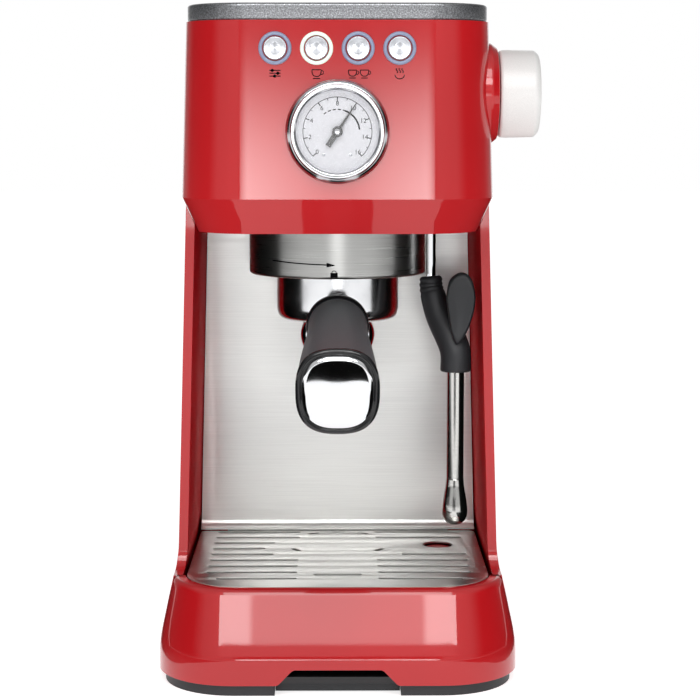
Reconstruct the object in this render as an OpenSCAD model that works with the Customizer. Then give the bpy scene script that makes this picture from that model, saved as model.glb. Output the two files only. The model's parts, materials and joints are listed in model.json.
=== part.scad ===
// Espresso machine, a slim counter-top model with a water tank behind its column.
// The origin is the centre of the base on the worktop, +X is the knob's side, -Y is the front.

/* [Overall size] */
// Width across the head at its lower crease
body_w = 148; // [146:1:200]
// Depth of the base, front to back
body_d = 315; // [290:1:400]
// Height from the worktop to the top of the lid
body_h = 325; // [300:1:420]

/* [Base] */
// How far the foot of the base stands out past the head on each side
base_flare = 13.5; // [9:0.5:20]
// How far the top of the base stands out past the head on each side
wing_flare = 5.3; // [4:0.1:8]
// Height of the top of the base
base_h = 49.5; // [45:0.5:65]
// Height of the upright band round the foot of the base
band_h = 18.6; // [12:0.2:24]
// How far the sloped front leans back from the band to the top
front_lean = 16.5; // [8:0.5:20]
// Plan radius of the base's corners
base_corner_r = 38; // [30:1:45]
// Height of the rubber foot ring
foot_h = 5.6; // [4:0.2:10]
// Wall of the painted base
base_wall = 3; // [2:0.5:4]
// Where the tray's front cover parts from the base, behind the front
seam_set = 40.5; // [36:0.5:52]
// Half width of the finger arch at its foot
arch_hw = 28.6; // [20:0.2:34]
// Height of the finger arch
arch_h = 7.6; // [5:0.2:9]

/* [Column] */
// Where the side walls start, behind the front
column_set = 58.5; // [54:0.5:64]
// Thickness of the side walls
column_wall = 4.5; // [3:0.5:5]
// Where the steel back panel stands, behind the front
panel_set = 150.5; // [145:0.5:156]
// Thickness of the steel back panel
panel_t = 1; // [0.8:0.1:1.4]
// Radius of the panel's foot
panel_fillet = 4.5; // [3:0.5:9]

/* [Head] */
// Height of the head with its lid
head_h = 106.4; // [100:0.2:125]
// Height of the bevelled band under the head
bevel_h = 16.4; // [10:0.2:22]
// How far the bevel comes in
bevel_in = 7; // [4:0.5:8]
// How far the head's front stands behind the foot of the base
head_set = 7.5; // [5:0.5:9]
// Narrowing of the head on each side, from crease to lid
head_taper = 2.7; // [0:0.1:4]
// Plan radius of the head's front corners
head_corner_r = 28; // [22:1:32]
// Wall of the painted head
head_wall = 2.5; // [2:0.5:3.5]
// Thickness of the grey lid
lid_h = 7.8; // [6:0.2:12]

/* [Drip tray] */
// Gap between the drip grid and each side wall
grid_gap = 0.6; // [0.5:0.1:3]
// Sheet thickness of the drip grid
grid_t = 1.2; // [0.8:0.1:2]
// Distance between the rows of drain slots
slot_pitch = 13.3; // [10:0.1:16]
// Width of a drain slot
slot_w = 3.4; // [2:0.2:5]
// Wall of the drip tray
tray_wall = 2.2; // [1.6:0.2:3]
// Travel of the tray out of the base
tray_travel = 150; // [60:5:160]
// Radius of the float's hole in the grid
float_hole_r = 7.6; // [6:0.2:9]

/* [Brew group] */
// Where the group's axis stands, behind the front
group_set = 101.5; // [98:0.5:108]
// Radius of the steel collar
collar_r = 45; // [44:0.5:46]
// How far the collar hangs below the head
collar_drop = 24.9; // [24:0.1:30]
// Outer radius of the portafilter's body
pf_r = 31.1; // [30.6:0.1:31.4]
// How far the portafilter's body shows below the collar
pf_drop = 16.7; // [12:0.1:24]
// Inner radius of the filter basket
basket_r = 27; // [25:0.1:27.2]
// How far the double spout hangs below the portafilter's body
spout_drop = 24; // [20:0.5:28]
// Distance between the two spouts
spout_pitch = 26; // [20:1:28]
// Length of the handle from the group's axis to its end plate
handle_l = 163; // [140:1:170]
// Fall of the handle towards its end
handle_tilt = 9; // [5:0.5:12]
// Width of the handle's end
handle_w = 37; // [30:0.5:40]

/* [Controls] */
// Outer radius of the gauge's bezel
gauge_r = 24; // [20:0.5:26]
// Height of the gauge's centre below the lid's top
gauge_drop = 58.8; // [54:0.2:64]
// Distance between the buttons
button_pitch = 19.1; // [17:0.1:22]
// Outer radius of a button's light ring
button_r = 7.6; // [7:0.1:8.2]
// Height of the buttons' centres below the lid's top
button_drop = 20.7; // [19:0.1:24]
// Radius of the steam knob
knob_r = 20.9; // [16:0.1:22]
// Length of the steam knob
knob_l = 19.4; // [15:0.1:26]
// Where the knob's axis stands, behind the front
knob_set = 47.5; // [44:0.5:50]
// Height of the knob's axis below the lid's top
knob_drop = 41.1; // [38:0.1:46]

/* [Steam wand] */
// Gap between the collar and the wand's axis
wand_off = 5.7; // [5.2:0.1:9]
// How far the wand's ball stands in front of the group's axis
wand_fwd = 19; // [14:0.5:24]
// Radius of the steam pipe
pipe_r = 2.4; // [2:0.1:3]
// Radius of the steel sleeve
sleeve_r = 4.35; // [3.8:0.05:6]
// Largest radius of the wand's tip
tip_r = 6.5; // [5.5:0.1:8]
// Height of the tip above the drip grid
tip_gap = 19; // [10:0.5:30]

/* [Water tank] */
// Depth of the water tank
tank_d = 65.5; // [45:0.5:68]
// Wall of the water tank
tank_wall = 2.5; // [2:0.1:4]

/* [Fits] */
// Radial clearance of a shaft in its bore
run_gap = 0.08; // [0.02:0.01:0.1]
// Clearance between neighbours that move past each other
slide_gap = 0.5; // [0.3:0.05:0.8]
// Clearance of a piece set into a hole
set_gap = 0.1; // [0:0.05:0.2]

/* [Hidden] */
$fn = 48;
hull_fn = 24;    // facets of a circle inside a hull
eps = 0.01;      // thickness of a hull's slices
bend_gap = 0.03; // a bend's ball stands this far proud of its line
far = 400;       // longer than the machine, for cutting

red = "#B5121B";
grey = "#6E6F71";
steel = "#C9CACB";
chrome = "#E2E4E6";
black = "#1B1B1D";
rubber = "#232325";
brass = "#B99A4B";

// Main planes
y_f = -body_d / 2;
y_b = body_d / 2;
y_seam = y_f + seam_set;
y_col = y_f + column_set;
y_panel = y_f + panel_set;
y_head = y_f + head_set;
z_lid = body_h - lid_h;
z_bot = body_h - head_h;
z_crease = z_bot + bevel_h;
rear_in = 2;                           // how far the column's back stands in from the foot
y_back = y_b - rear_in;

// Half widths
hw_head = body_w / 2;
hw_lid = hw_head - head_taper;
hw_base = hw_head + base_flare;
hw_wing = hw_head + wing_flare;
wing_corner_r = base_corner_r - 8;

// Drip tray and grid
group_y = y_f + group_set;             // the group's axis, over the grid
cup_y = group_y + 12.3;                // middle of the cup's ring of slots
grid_hw = hw_wing - column_wall - grid_gap;
y_grid_f = y_f + front_lean;
y_grid_b = y_panel - panel_t - panel_fillet - slide_gap;
y_lip = y_grid_f - 2.4;                // front edge of the lip before the grid
grid_r = head_corner_r;
skirt_h = 4.5;
skirt_t = 1.2;
z_tray_top = base_h - skirt_h;
tray_hw = grid_hw - 0.5;
y_tray_f = y_grid_f + 0.4;
tray_r = grid_r - 0.4;
floor_t = 3;                           // floor plate of the base
z_floor = foot_h + floor_t;
z_tray = z_floor + 2;
z_tray_in = z_tray + tray_wall;
float_x = grid_hw - 21.6;
float_y = group_y + 8.3;
float_pin_r = 2.5;
float_rise = 8;
wing_in = grid_hw + 0.8;

// Brew group
z_collar = z_bot - collar_drop;
z_pf = z_collar - pf_drop;
floor_z = z_bot + 1;                   // underside of the head's floor
floor_top = floor_z + 3;
z_rim = z_collar + 16.3;               // top of the portafilter's body
lug_r = pf_r + 6.4;
lug_h = 4.5;
lug_z = z_rim - 6;
group_r = collar_r - 5;
throat_r = pf_r + 0.9;
neck_r = 33;
z_block = z_rim + 34;                  // top of the group, foot of the heater block
basket_t = 0.8;
basket_or = basket_r + basket_t;
pf_bore_r = basket_or + 0.5;
pf_floor = 4;
handle_z = z_pf + 9.3;
rod_r = 5;
rod_l = handle_l - 13;
grip_s = 48;                           // where the grip starts along the handle
twist = 42;                            // turn that frees the portafilter

// Gauge, buttons and knob
z_gauge = body_h - gauge_drop;
z_button = body_h - button_drop;
z_knob = body_h - knob_drop;
y_knob = y_f + knob_set;
can_r = gauge_r - 2;
dial_r = can_r - 1.4;
cap_r = button_r - 2.25;
ring_in_r = cap_r + 0.35;
button_travel = 1.5;
spindle_r = 4;
boss_r = knob_r + 3.3;
x_side = hw_head - 1;                  // side of the head beside the knob
x_knob = x_side + 4;

// Steam wand
reach = collar_r + wand_off;
wand_x = sqrt(reach * reach - wand_fwd * wand_fwd);
wand_y = group_y - wand_fwd;
ball_r = 6;
z_ball = floor_top + 5.4;
seat_r = 9.5;
trunnion_r = 1.3;
trunnion_in = 3.2;                     // inner end of a trunnion, from the ball's centre
low_x = wand_x + 11.9;
low_y = wand_y - 13;
z_kink = z_bot - 26;
z_grip_low = z_bot - 71.8;
z_tip = base_h + tip_gap;
tip_h = 24;

// Rear
cover_t = 3;
tank_hw = hw_lid - 5.3;
y_tank_b = y_back - 5;
y_tank_f = y_tank_b - tank_d;
y_cover = y_tank_f - 4;                // back of the rear cover
tank_r = 26;
z_tank = base_h + 3;
z_tank_top = z_lid - 0.2;
y_outlet = (y_tank_f + y_tank_b) / 2;
neck_or = 8;
hinge_y = y_tank_b + 3.5;
hinge_z = z_lid - 3.2;
rod2_r = 1.5;
gland_x = -40;
gland_z = foot_h + 22;
gland_r = 6;
plate_hw = gland_r + 14;               // half width of the plate that holds the gland
plate_hh = gland_r + 9;                // half height of that plate
line_r = 2.5;
y_plate = y_panel + 4;                 // back of the upright steel plate
plate_t = 1.5;
pump_y = y_plate + 43;
z_pump = z_floor + 16.4;
pump_h = 85;
z_hose_low = z_floor + 6.4;
z_feed = z_block + 18;

// A plan outline with its own corner radii at the front and the back
module plan(hw, y0, y1, rf, rb) {
  translate([-hw, y0 + rf]) square([2 * hw, y1 - y0 - rf - rb]);
  translate([rf - hw, y0]) square([2 * (hw - rf), rf + 1]);
  translate([rb - hw, y1 - rb - 1]) square([2 * (hw - rb), rb + 1]);
  for (s = [-1, 1]) {
    translate([s * (hw - rf), y0 + rf]) circle(rf);
    translate([s * (hw - rb), y1 - rb]) circle(rb);
  }
}

// A thin slice of such an outline, for lofting
module slice(z, hw, y0, y1, rf, rb) {
  translate([0, 0, z]) linear_extrude(eps) plan(hw, y0, y1, rf, rb, $fn = hull_fn);
}

// Everything in front of or behind a plane
module front_of(y) translate([-far / 2, y - far, -far / 4]) cube([far, far, 2 * far]);
module behind(y) translate([-far / 2, y, -far / 4]) cube([far, far, 2 * far]);

// A cylinder along X or Y that starts at the given place
module rod_x(r, l) rotate([0, 90, 0]) cylinder(r = r, h = l);
module rod_y(r, l) rotate([-90, 0, 0]) cylinder(r = r, h = l);

// A round line through points, with balls at its bends
module line(points, r) {
  for (i = [0 : len(points) - 2]) {
    v = points[i + 1] - points[i];
    l = norm(v);
    translate(points[i])
      rotate([0, acos(v[2] / l), atan2(v[1], v[0])]) cylinder(r = r, h = l);
    if (i > 0) translate(points[i]) sphere(r + bend_gap);
  }
}

// Lofted forms of the housing, drawn in by a wall
module base_form(t = 0) {
  hull() {
    slice(foot_h - t, hw_base - t, y_f + t, y_b - t, base_corner_r - t, base_corner_r - t);
    slice(band_h, hw_base - t, y_f + t, y_b - t, base_corner_r - t, base_corner_r - t);
    slice(base_h - t, hw_wing - t, y_lip + t, y_back - t, wing_corner_r - t, base_corner_r - t);
  }
}

// Where the sloped front stands at a height
function slope_y(z) = y_f + (y_lip - y_f) * (z - band_h) / (base_h - band_h);

module column_form(t = 0, over = 0) {
  hull() {
    slice(base_h - base_wall - over, hw_wing - t, y_head, y_back - t, head_corner_r, base_corner_r - t);
    slice(z_crease - eps + over, hw_head - t, y_head, y_back - t, head_corner_r, base_corner_r - t);
  }
}

module head_form(t = 0, over = 0) {
  hull() {
    slice(z_crease - over, hw_head - t, y_head + t, y_back - t, head_corner_r - t, base_corner_r - t);
    slice(z_lid - eps + over, hw_lid - t, y_head + t, y_back - t, head_corner_r - t, base_corner_r - t);
  }
}

module bevel_form(t = 0, over = 0) {
  hull() {
    slice(z_bot - over, hw_head - bevel_in - t, y_head + bevel_in + t, y_back - t, head_corner_r - t, 20);
    slice(z_crease - eps + over, hw_head - t, y_head + t, y_back - t, head_corner_r - t, 20);
  }
}

module tank_bay() {
  translate([-tank_hw - 1, y_cover, base_h]) cube([2 * tank_hw + 2, far, far]);
}

// Housing

module foot_ring() color(rubber) {
  inset = 3;
  width = 12;
  linear_extrude(foot_h) difference() {
    plan(hw_base - inset, y_f + inset, y_b - inset, base_corner_r - inset, base_corner_r - inset);
    plan(hw_base - inset - width, y_f + inset + width, y_b - inset - width,
      base_corner_r - inset - width, base_corner_r - inset - width);
    translate([-arch_hw - 1.4, y_f - 1]) square([2 * arch_hw + 2.8, inset + width + 2]);
  }
}

module chassis_base() color(black) {
  inset = base_wall + 2;
  translate([0, 0, foot_h]) linear_extrude(floor_t)
    plan(hw_base - inset, y_f + inset, y_b - inset, base_corner_r - inset, base_corner_r - inset);
  // rails under the drip tray
  for (s = [-1, 1]) translate([s * (tray_hw - 14) - 3, y_f + 30, z_floor - eps])
    cube([6, y_panel - y_f - 40, z_tray - z_floor + eps]);
}

module chassis_plate() color(steel) {
  hw = hw_lid - 11;
  difference() {
    translate([-hw, y_plate - plate_t, z_floor]) cube([2 * hw, plate_t, z_lid - z_floor - 16]);
    translate([0, y_plate - far / 4, z_feed]) rod_y(line_r + 1.5, far / 2);
  }
}

module body_shell() color(red) {
  difference() {
    union() {
      difference() {
        base_form();
        base_form(base_wall);
        front_of(y_seam);
      }
      difference() {
        column_form();
        front_of(y_col);
      }
    }
    column_form(column_wall, 3);
    // slot between the wings for the grid
    translate([-wing_in, y_f, z_tray_top - 1]) cube([2 * wing_in, y_col - y_f + 1, 20]);
    tank_bay();
    gland_window(set_gap);
  }
  // inner flange that stands on the floor plate
  translate([0, 0, z_floor]) linear_extrude(2) difference() {
    plan(hw_base - base_wall + 1, y_seam + 5, y_b - base_wall + 0.5, 1, base_corner_r - base_wall);
    plan(tray_hw + 2, y_seam, y_b - 12, 1, base_corner_r - 12);
  }
}

// Window in the back of the base for the gland's plate
module gland_window(gap = 0)
  translate([gland_x - plate_hw - gap, y_b - 20, gland_z - plate_hh - gap])
    cube([2 * (plate_hw + gap), 40, 2 * (plate_hh + gap)]);

module gland_plate() color(red) {
  difference() {
    intersection() {
      base_form();
      gland_window();
    }
    base_form(base_wall);
    translate([gland_x, y_b - 20, gland_z]) rod_y(gland_r + set_gap, 40);
  }
}

module head_shell() color(red) {
  difference() {
    union() {
      head_form();
      intersection() {
        bevel_form();
        front_of(y_col - 0.3);
      }
    }
    head_form(head_wall, 2);
    bevel_form(head_wall, 2);
    tank_bay();
    translate([0, y_head - 5, z_gauge]) rod_y(can_r + set_gap, 20);
    for (i = [0 : 3]) translate([(i - 1.5) * button_pitch, y_head - 5, z_button])
      rod_y(button_r + set_gap, 20);
    translate([hw_head - 14, y_knob, z_knob]) rod_x(boss_r + set_gap, 20);
  }
}

module head_floor() color(black) {
  hw = hw_head - bevel_in - head_wall - 0.6;
  y0 = y_head + bevel_in + head_wall + 0.6;
  translate([0, 0, floor_z]) linear_extrude(floor_top - floor_z) difference() {
    plan(hw, y0, y_panel - panel_t, head_corner_r - head_wall, 1);
    translate([0, group_y]) circle(neck_r + 0.2);
    translate([wand_x, wand_y]) circle(8);
  }
}

module back_panel() color(steel) {
  top = z_bot + 14;
  difference() {
    intersection() {
      translate([-far / 2, 0, 0]) rotate([90, 0, 90]) linear_extrude(far) difference() {
        union() {
          translate([y_panel - panel_t, base_h + 0.4]) square([panel_t, top - base_h]);
          translate([y_panel - panel_t - panel_fillet, base_h + 0.4])
            square([panel_fillet + eps, panel_fillet]);
        }
        translate([y_panel - panel_t - panel_fillet, base_h + 0.4 + panel_fillet + panel_t])
          circle(panel_fillet);
      }
      translate([0, y_panel + 5, 0]) rotate([90, 0, 0]) linear_extrude(60)
        polygon([[-hw_wing + column_wall + 0.4, base_h - 1], [hw_wing - column_wall - 0.4, base_h - 1],
          [hw_head - column_wall - 0.4, z_crease], [-hw_head + column_wall + 0.4, z_crease]]);
    }
    // the sheet's ends, under the head, stand behind the floor's edge
    translate([-far / 2, y_panel - panel_t - 20, floor_z - 0.5]) cube([far, 20, 30]);
  }
}

module rear_cover() color(black) {
  hw0 = hw_wing - column_wall - 0.4;
  hw1 = hw_head - column_wall - 0.4;
  hw2 = hw_lid - head_wall - 0.4;
  translate([0, y_cover, 0]) rotate([90, 0, 0]) linear_extrude(cover_t)
    polygon([[-hw0, base_h + 1], [hw0, base_h + 1], [hw1, z_crease], [hw2, z_lid],
      [-hw2, z_lid], [-hw1, z_crease]]);
}

module top_cover() color(grey) {
  rim = 3;
  skin = 1.8;
  plate_in = 10;
  translate([0, 0, z_lid]) difference() {
    linear_extrude(lid_h) plan(hw_lid - 0.8, y_head, y_cover + 0.5, head_corner_r, 2);
    translate([0, 0, -1]) linear_extrude(lid_h - skin - 1)
      plan(hw_lid - 0.8 - rim, y_head + rim, y_cover + 0.5 - rim, head_corner_r - rim, 1);
    translate([0, 0, lid_h - 1.5]) linear_extrude(3)
      plan(hw_lid - plate_in, y_head + plate_in, y_cover - plate_in, head_corner_r - plate_in, 8);
  }
}

module cup_plate() color(steel) {
  plate_in = 10.3;
  hw = hw_lid - plate_in;
  y0 = y_head + plate_in;
  y1 = y_cover - plate_in;
  rows = floor((y1 - y0 - 40) / 14);
  translate([0, 0, body_h - 1.5]) linear_extrude(1.2) difference() {
    plan(hw, y0, y1, head_corner_r - plate_in, 8);
    for (i = [0 : rows]) for (s = [-1, 1])
      translate([s * hw / 2, (y0 + y1) / 2 + (i - rows / 2) * 14]) {
        square([hw - 28, 3], center = true);
        for (e = [-1, 1]) translate([e * (hw - 28) / 2, 0]) circle(1.5);
      }
  }
}

// Drip tray

module slot(x0, x1, y, w = slot_w) {
  translate([x0 + w / 2, y - w / 2]) square([x1 - x0 - w, w]);
  for (x = [x0 + w / 2, x1 - w / 2]) translate([x, y]) circle(w / 2);
}

// A slot along an arc, as a flat outline
module arc_slot(r, w, angle) intersection() {
  difference() {
    circle(r + w / 2);
    circle(r - w / 2);
  }
  polygon([[0, 0], [2 * r, 0], [2 * r * cos(angle), 2 * r * sin(angle)]]);
}

module grid_plan(t = 0) plan(grid_hw - t, y_grid_f + t, y_grid_b - t, grid_r - t, 4);

module drip_tray() color(black) {
  h = z_tray_top - z_tray;
  translate([0, 0, z_tray]) difference() {
    linear_extrude(h) plan(tray_hw, y_tray_f, y_grid_b - 0.5, tray_r, 4);
    translate([0, 0, tray_wall]) linear_extrude(h)
      plan(tray_hw - tray_wall, y_tray_f + tray_wall, y_grid_b - 0.5 - tray_wall, tray_r - tray_wall, 2);
  }
  // pin that guides the float
  translate([float_x, float_y, z_tray_in - eps]) cylinder(r = float_pin_r, h = 9);
}

module tray_front() color(red) {
  difference() {
    base_form();
    base_form(base_wall);
    behind(y_seam - 0.4);
    translate([0, 0, z_tray_top - 1]) linear_extrude(20)
      plan(wing_in, y_grid_f - 0.5, y_b, grid_r + 0.5, 1);
    // finger arch
    translate([0, y_f + 20, 0]) rotate([90, 0, 0]) linear_extrude(30)
      polygon([[-arch_hw, foot_h - 3], [arch_hw, foot_h - 3], [arch_hw, foot_h],
        [arch_hw - 7, foot_h + arch_h], [7 - arch_hw, foot_h + arch_h], [-arch_hw, foot_h]]);
  }
  // ribs that carry the cover on the tray, rooted in the sloped wall
  z0 = band_h;
  z1 = z_tray_top - 5;
  root = base_wall - 0.8;
  for (s = [-1, 1]) translate([s * 40 - 2, 0, 0]) rotate([90, 0, 90]) linear_extrude(4)
    polygon([[y_f + root, z0], [y_tray_f, z0], [y_tray_f, z1], [slope_y(z1) + root, z1]]);
}

module drip_grid() color(steel) {
  y0 = y_grid_b - 4;
  left = -grid_hw + 9.2;
  right = grid_hw - 8;
  near = 20;
  mid = 33;
  difference() {
    union() {
      translate([0, 0, base_h - grid_t]) linear_extrude(grid_t) difference() {
        grid_plan();
        // long drain slots, front to back: the outer end, then the inner end
        for (i = [0, 1, 5, 6, 7]) {
          slot(left, -near, y0 - slot_pitch * i);
          slot(near, right, y0 - slot_pitch * i);
        }
        slot(left, -mid, y0 - slot_pitch * 2);
        slot(left, -mid - 4, y0 - slot_pitch * 3);
        slot(left, -mid, y0 - slot_pitch * 4);
        slot(mid, right, y0 - slot_pitch * 4);
        slot(left + 5.5, -near, y0 - slot_pitch * 8);
        slot(near, right - 5, y0 - slot_pitch * 8);
        slot(-12, 12, y0 - slot_pitch * 7.4);
        // slots in a ring round the cup's place
        for (a = [61, 90, 119, 217, 323]) translate([0, cup_y]) rotate(a - 7)
          arc_slot(27, slot_w - 0.8, 14);
        translate([float_x, float_y]) circle(float_hole_r);
      }
      translate([0, 0, base_h - skirt_h]) linear_extrude(skirt_h) difference() {
        grid_plan();
        grid_plan(skirt_t);
      }
    }
  }
}

module tray_float() color("#C0232B") {
  z_top = base_h - grid_t - 0.6;
  bore_h = 16;
  translate([float_x, float_y, z_tray_in]) difference() {
    union() {
      cylinder(r = 11, h = 9);
      cylinder(r = 4.5, h = z_top - z_tray_in);
      translate([0, 0, z_top - z_tray_in - 3]) cylinder(r = float_hole_r - 0.8, h = 3);
    }
    translate([0, 0, -1]) cylinder(r = float_pin_r + 0.35, h = bore_h + 1);
  }
}

// Water tank

module tank_seat() color(black) {
  hw = tank_hw + 0.5;
  wall = 2.5;
  box_hw = hw - 6;
  box_b = y_b - base_wall - 12.5;
  difference() {
    union() {
      translate([0, 0, base_h]) linear_extrude(2.7)
        plan(hw, y_cover + 0.3, y_tank_b + 0.5, 2, tank_r);
      difference() {
        translate([-box_hw, y_tank_f, z_floor]) cube([2 * box_hw, box_b - y_tank_f, base_h - z_floor + eps]);
        translate([wall - box_hw, y_tank_f + wall, z_floor - 1])
          cube([2 * (box_hw - wall), box_b - y_tank_f - 2 * wall, base_h - z_floor + 1]);
        translate([0, y_tank_f - 1, z_hose_low]) rod_y(line_r + 1.5, wall + 2);
      }
      // socket for the tank's outlet
      translate([0, y_outlet, z_tank - 19]) cylinder(r = neck_or + 3, h = 19 - 1);
      translate([0, y_outlet, z_tank - 25]) cylinder(r = 4, h = 7);
    }
    translate([0, y_outlet, z_tank - 16]) cylinder(r = neck_or + slide_gap, h = 20);
    translate([0, y_outlet, z_tank - 30]) cylinder(r = 1.5, h = 20);
  }
}

module water_tank() color("#8FA3AD", 0.45) {
  bore_r = 5;
  difference() {
    union() {
      translate([0, 0, z_tank]) linear_extrude(z_tank_top - z_tank)
        plan(tank_hw, y_tank_f, y_tank_b, 8, tank_r);
      translate([0, y_outlet, z_tank - 13]) cylinder(r = neck_or, h = 14);
      for (s = [-1, 1]) translate([s * 34 - 2, y_tank_b - 1, hinge_z - 3.5])
        cube([4, hinge_y + 3 - y_tank_b + 1, z_tank_top - hinge_z + 3.5]);
    }
    translate([0, 0, z_tank + tank_wall]) linear_extrude(far)
      plan(tank_hw - tank_wall, y_tank_f + tank_wall, y_tank_b - tank_wall, 8 - tank_wall,
        tank_r - tank_wall);
    translate([0, y_outlet, z_tank - 14]) cylinder(r = bore_r, h = 20);
    translate([-far / 2, hinge_y, hinge_z]) rod_x(rod2_r, far);
  }
}

module tank_valve() color(black) {
  z0 = z_tank + tank_wall;
  translate([0, y_outlet, z0]) cylinder(r = 7, h = 2);
  translate([0, y_outlet, z0 - 11]) cylinder(r = 1.8, h = 15);
}

module lid_hinge_rod() color(steel) {
  translate([-36, hinge_y, hinge_z]) rod_x(rod2_r, 72);
}

module tank_lid() color(grey) {
  rim = 3;
  z0 = z_lid + 0.3;
  y0 = y_cover + 1.3;
  y1 = y_tank_b + 1.5;
  difference() {
    union() {
      translate([0, 0, z0]) difference() {
        linear_extrude(lid_h - 0.3) plan(hw_lid - 0.8, y0, y1, 2, tank_r);
        translate([0, 0, -1]) linear_extrude(lid_h - 2.8)
          plan(tank_hw - rim, y0 + rim + 1, y1 - rim, 2, tank_r - rim);
        // finger recess
        translate([0, y0 + 14, lid_h - 0.9]) linear_extrude(3) plan(17, -7, 7, 6, 6);
      }
      for (s = [-1, 1]) translate([s * 29 - 2.5, 0, 0]) {
        translate([0, hinge_y, hinge_z]) rod_x(3, 5);
        translate([0, hinge_y - 3, hinge_z]) cube([5, 6, z0 + 3 - hinge_z]);
      }
    }
    translate([-far / 2, hinge_y, hinge_z]) rod_x(rod2_r + run_gap, far);
  }
}

// Front controls

module button(i) color(steel) {
  length = 12;
  translate([(i - 1.5) * button_pitch, y_head - 1.6, z_button]) {
    rod_y(cap_r, length);
    translate([0, 7.4, 0]) rod_y(2, length - 2.8);
  }
}

module button_program() button(0);
module button_single() button(1);
module button_double() button(2);
module button_steam() button(3);

module button_rings() color("#B9BCE0") {
  for (i = [0 : 3]) translate([(i - 1.5) * button_pitch, y_head - 0.9, z_button])
    difference() {
      rod_y(button_r, 8);
      translate([0, -1, 0]) rod_y(ring_in_r, 10);
    }
}

module button_board() color("#1F5B3A") {
  y0 = y_head + 19;
  tact = 4.6;
  translate([-2 * button_pitch, y0, z_button - 9]) cube([4 * button_pitch, 1.6, 18]);
  for (i = [0 : 3]) translate([(i - 1.5) * button_pitch - 3, y0 - tact + 2.3, z_button - 3])
    cube([6, tact - 2.3 + eps, 6]);
  // posts that stand on the back of the head's front wall
  for (sx = [-1, 1]) for (sz = [-1, 1])
    translate([sx * (2 * button_pitch - 2), y_head + head_wall, z_button + sz * 6.5])
      rod_y(1.8, y0 - y_head - head_wall + eps);
}

module gauge_case() color(black) {
  depth = 31;
  translate([0, y_head + 1, z_gauge]) difference() {
    rod_y(can_r, depth);
    translate([0, -1, 0]) rod_y(can_r - 1, depth - 2);
    translate([0, -1, 0]) rod_y(2, depth + 5);
  }
}

module gauge_bezel() color(chrome) {
  translate([0, y_head, z_gauge]) rotate([90, 0, 0]) rotate_extrude() difference() {
    polygon([[gauge_r - 5, 5.4], [gauge_r - 3.4, 6], [gauge_r - 1.4, 5.4], [gauge_r, 3.4],
      [gauge_r, 0], [gauge_r - 2, 0], [gauge_r - 2, -1], [dial_r + 0.2, -1], [dial_r + 0.2, 4.2],
      [gauge_r - 5, 4.2]]);
  }
}

module gauge_dial() color("#F4F4F2") {
  translate([0, y_head + 0.2, z_gauge]) difference() {
    rod_y(dial_r, 0.8);
    translate([0, -1, 0]) rod_y(0.8 + run_gap, 3);
  }
}

module gauge_glass() color("#FFFFFF", 0.2) {
  translate([0, y_head - 4.2, z_gauge]) rod_y(dial_r, 1);
}

module gauge_needle() color(black) {
  rest = 33.75;
  translate([0, y_head - 1.8, z_gauge]) {
    rod_y(2.6, 1);
    rod_y(0.8, 22);
    rotate([0, rest, 0]) {
      rotate([-90, 0, 0]) linear_extrude(0.5)
        polygon([[-0.8, 0], [0.8, 0], [0.25, -dial_r + 5], [-0.25, -dial_r + 5]]);
      translate([-1.3, 0, -8]) cube([2.6, 0.5, 8]);
    }
  }
}

// Steam knob and valve

module knob_boss() color(red) {
  translate([x_side - 7, y_knob, z_knob]) difference() {
    union() {
      rod_x(boss_r, 7.4);
      translate([7.4 - eps, 0, 0]) rotate([0, 90, 0]) cylinder(r1 = boss_r, r2 = boss_r - 2.7, h = 3.1);
    }
    translate([-1, 0, 0]) rod_x(spindle_r + run_gap, 20);
    translate([-1, 0, 0]) rod_x(boss_r - 6, 4);
  }
}

module steam_knob() color("#F2F2F0") {
  edge = 2.5;
  translate([x_knob, y_knob, z_knob]) rotate([0, 90, 0]) difference() {
    rotate_extrude() union() {
      square([knob_r, knob_l - edge]);
      square([knob_r - edge, knob_l]);
      translate([knob_r - edge, knob_l - edge]) circle(edge);
    }
    translate([0, 0, -1]) cylinder(r = spindle_r, h = 15);
    // shallow dish in the end
    translate([0, 0, knob_l - 0.8]) cylinder(r = knob_r - 4, h = 2);
  }
}

module valve_spindle() color(brass) {
  translate([hw_head - 34, y_knob, z_knob]) rod_x(spindle_r, x_knob + 14 - hw_head + 34);
}

module steam_valve() color(brass) {
  translate([hw_head - 38, y_knob - 9, z_knob - 9]) difference() {
    cube([28, 18, 18]);
    translate([3, 9, 9]) rod_x(spindle_r + run_gap, 40);
  }
}

// Steam wand

module wand_socket() color(brass) {
  h = z_ball + 11 - floor_top;
  translate([wand_x, wand_y, floor_top]) difference() {
    cylinder(r = seat_r + 3.5, h = h);
    translate([0, 0, -1]) cylinder(r = seat_r + run_gap, h = h - 1);
    cylinder(r = 1.5, h = h + 1);
  }
}

module wand_seat() color(chrome) {
  translate([wand_x, wand_y, z_ball]) difference() {
    translate([0, 0, -4.2]) cylinder(r = seat_r, h = 13);
    sphere(ball_r + run_gap);
    translate([-pipe_r - 0.5, -20, -10]) cube([2 * pipe_r + 1, 20, 9]);
    translate([0, 0, -10]) cylinder(r = 4.3, h = 10);
    cylinder(r = 1.5, h = 20);
  }
  // trunnions that the ball tilts on
  for (s = [-1, 1])
    translate([wand_x + s * (ball_r + 1 + trunnion_in) / 2 - (ball_r + 1 - trunnion_in) / 2, wand_y, z_ball])
      rod_x(trunnion_r, ball_r + 1 - trunnion_in);
}

function wand_path(z_end) = [[wand_x, wand_y, z_ball], [wand_x, wand_y, z_kink],
  [low_x, low_y, z_grip_low + 14], [low_x, low_y, z_end]];

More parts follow.
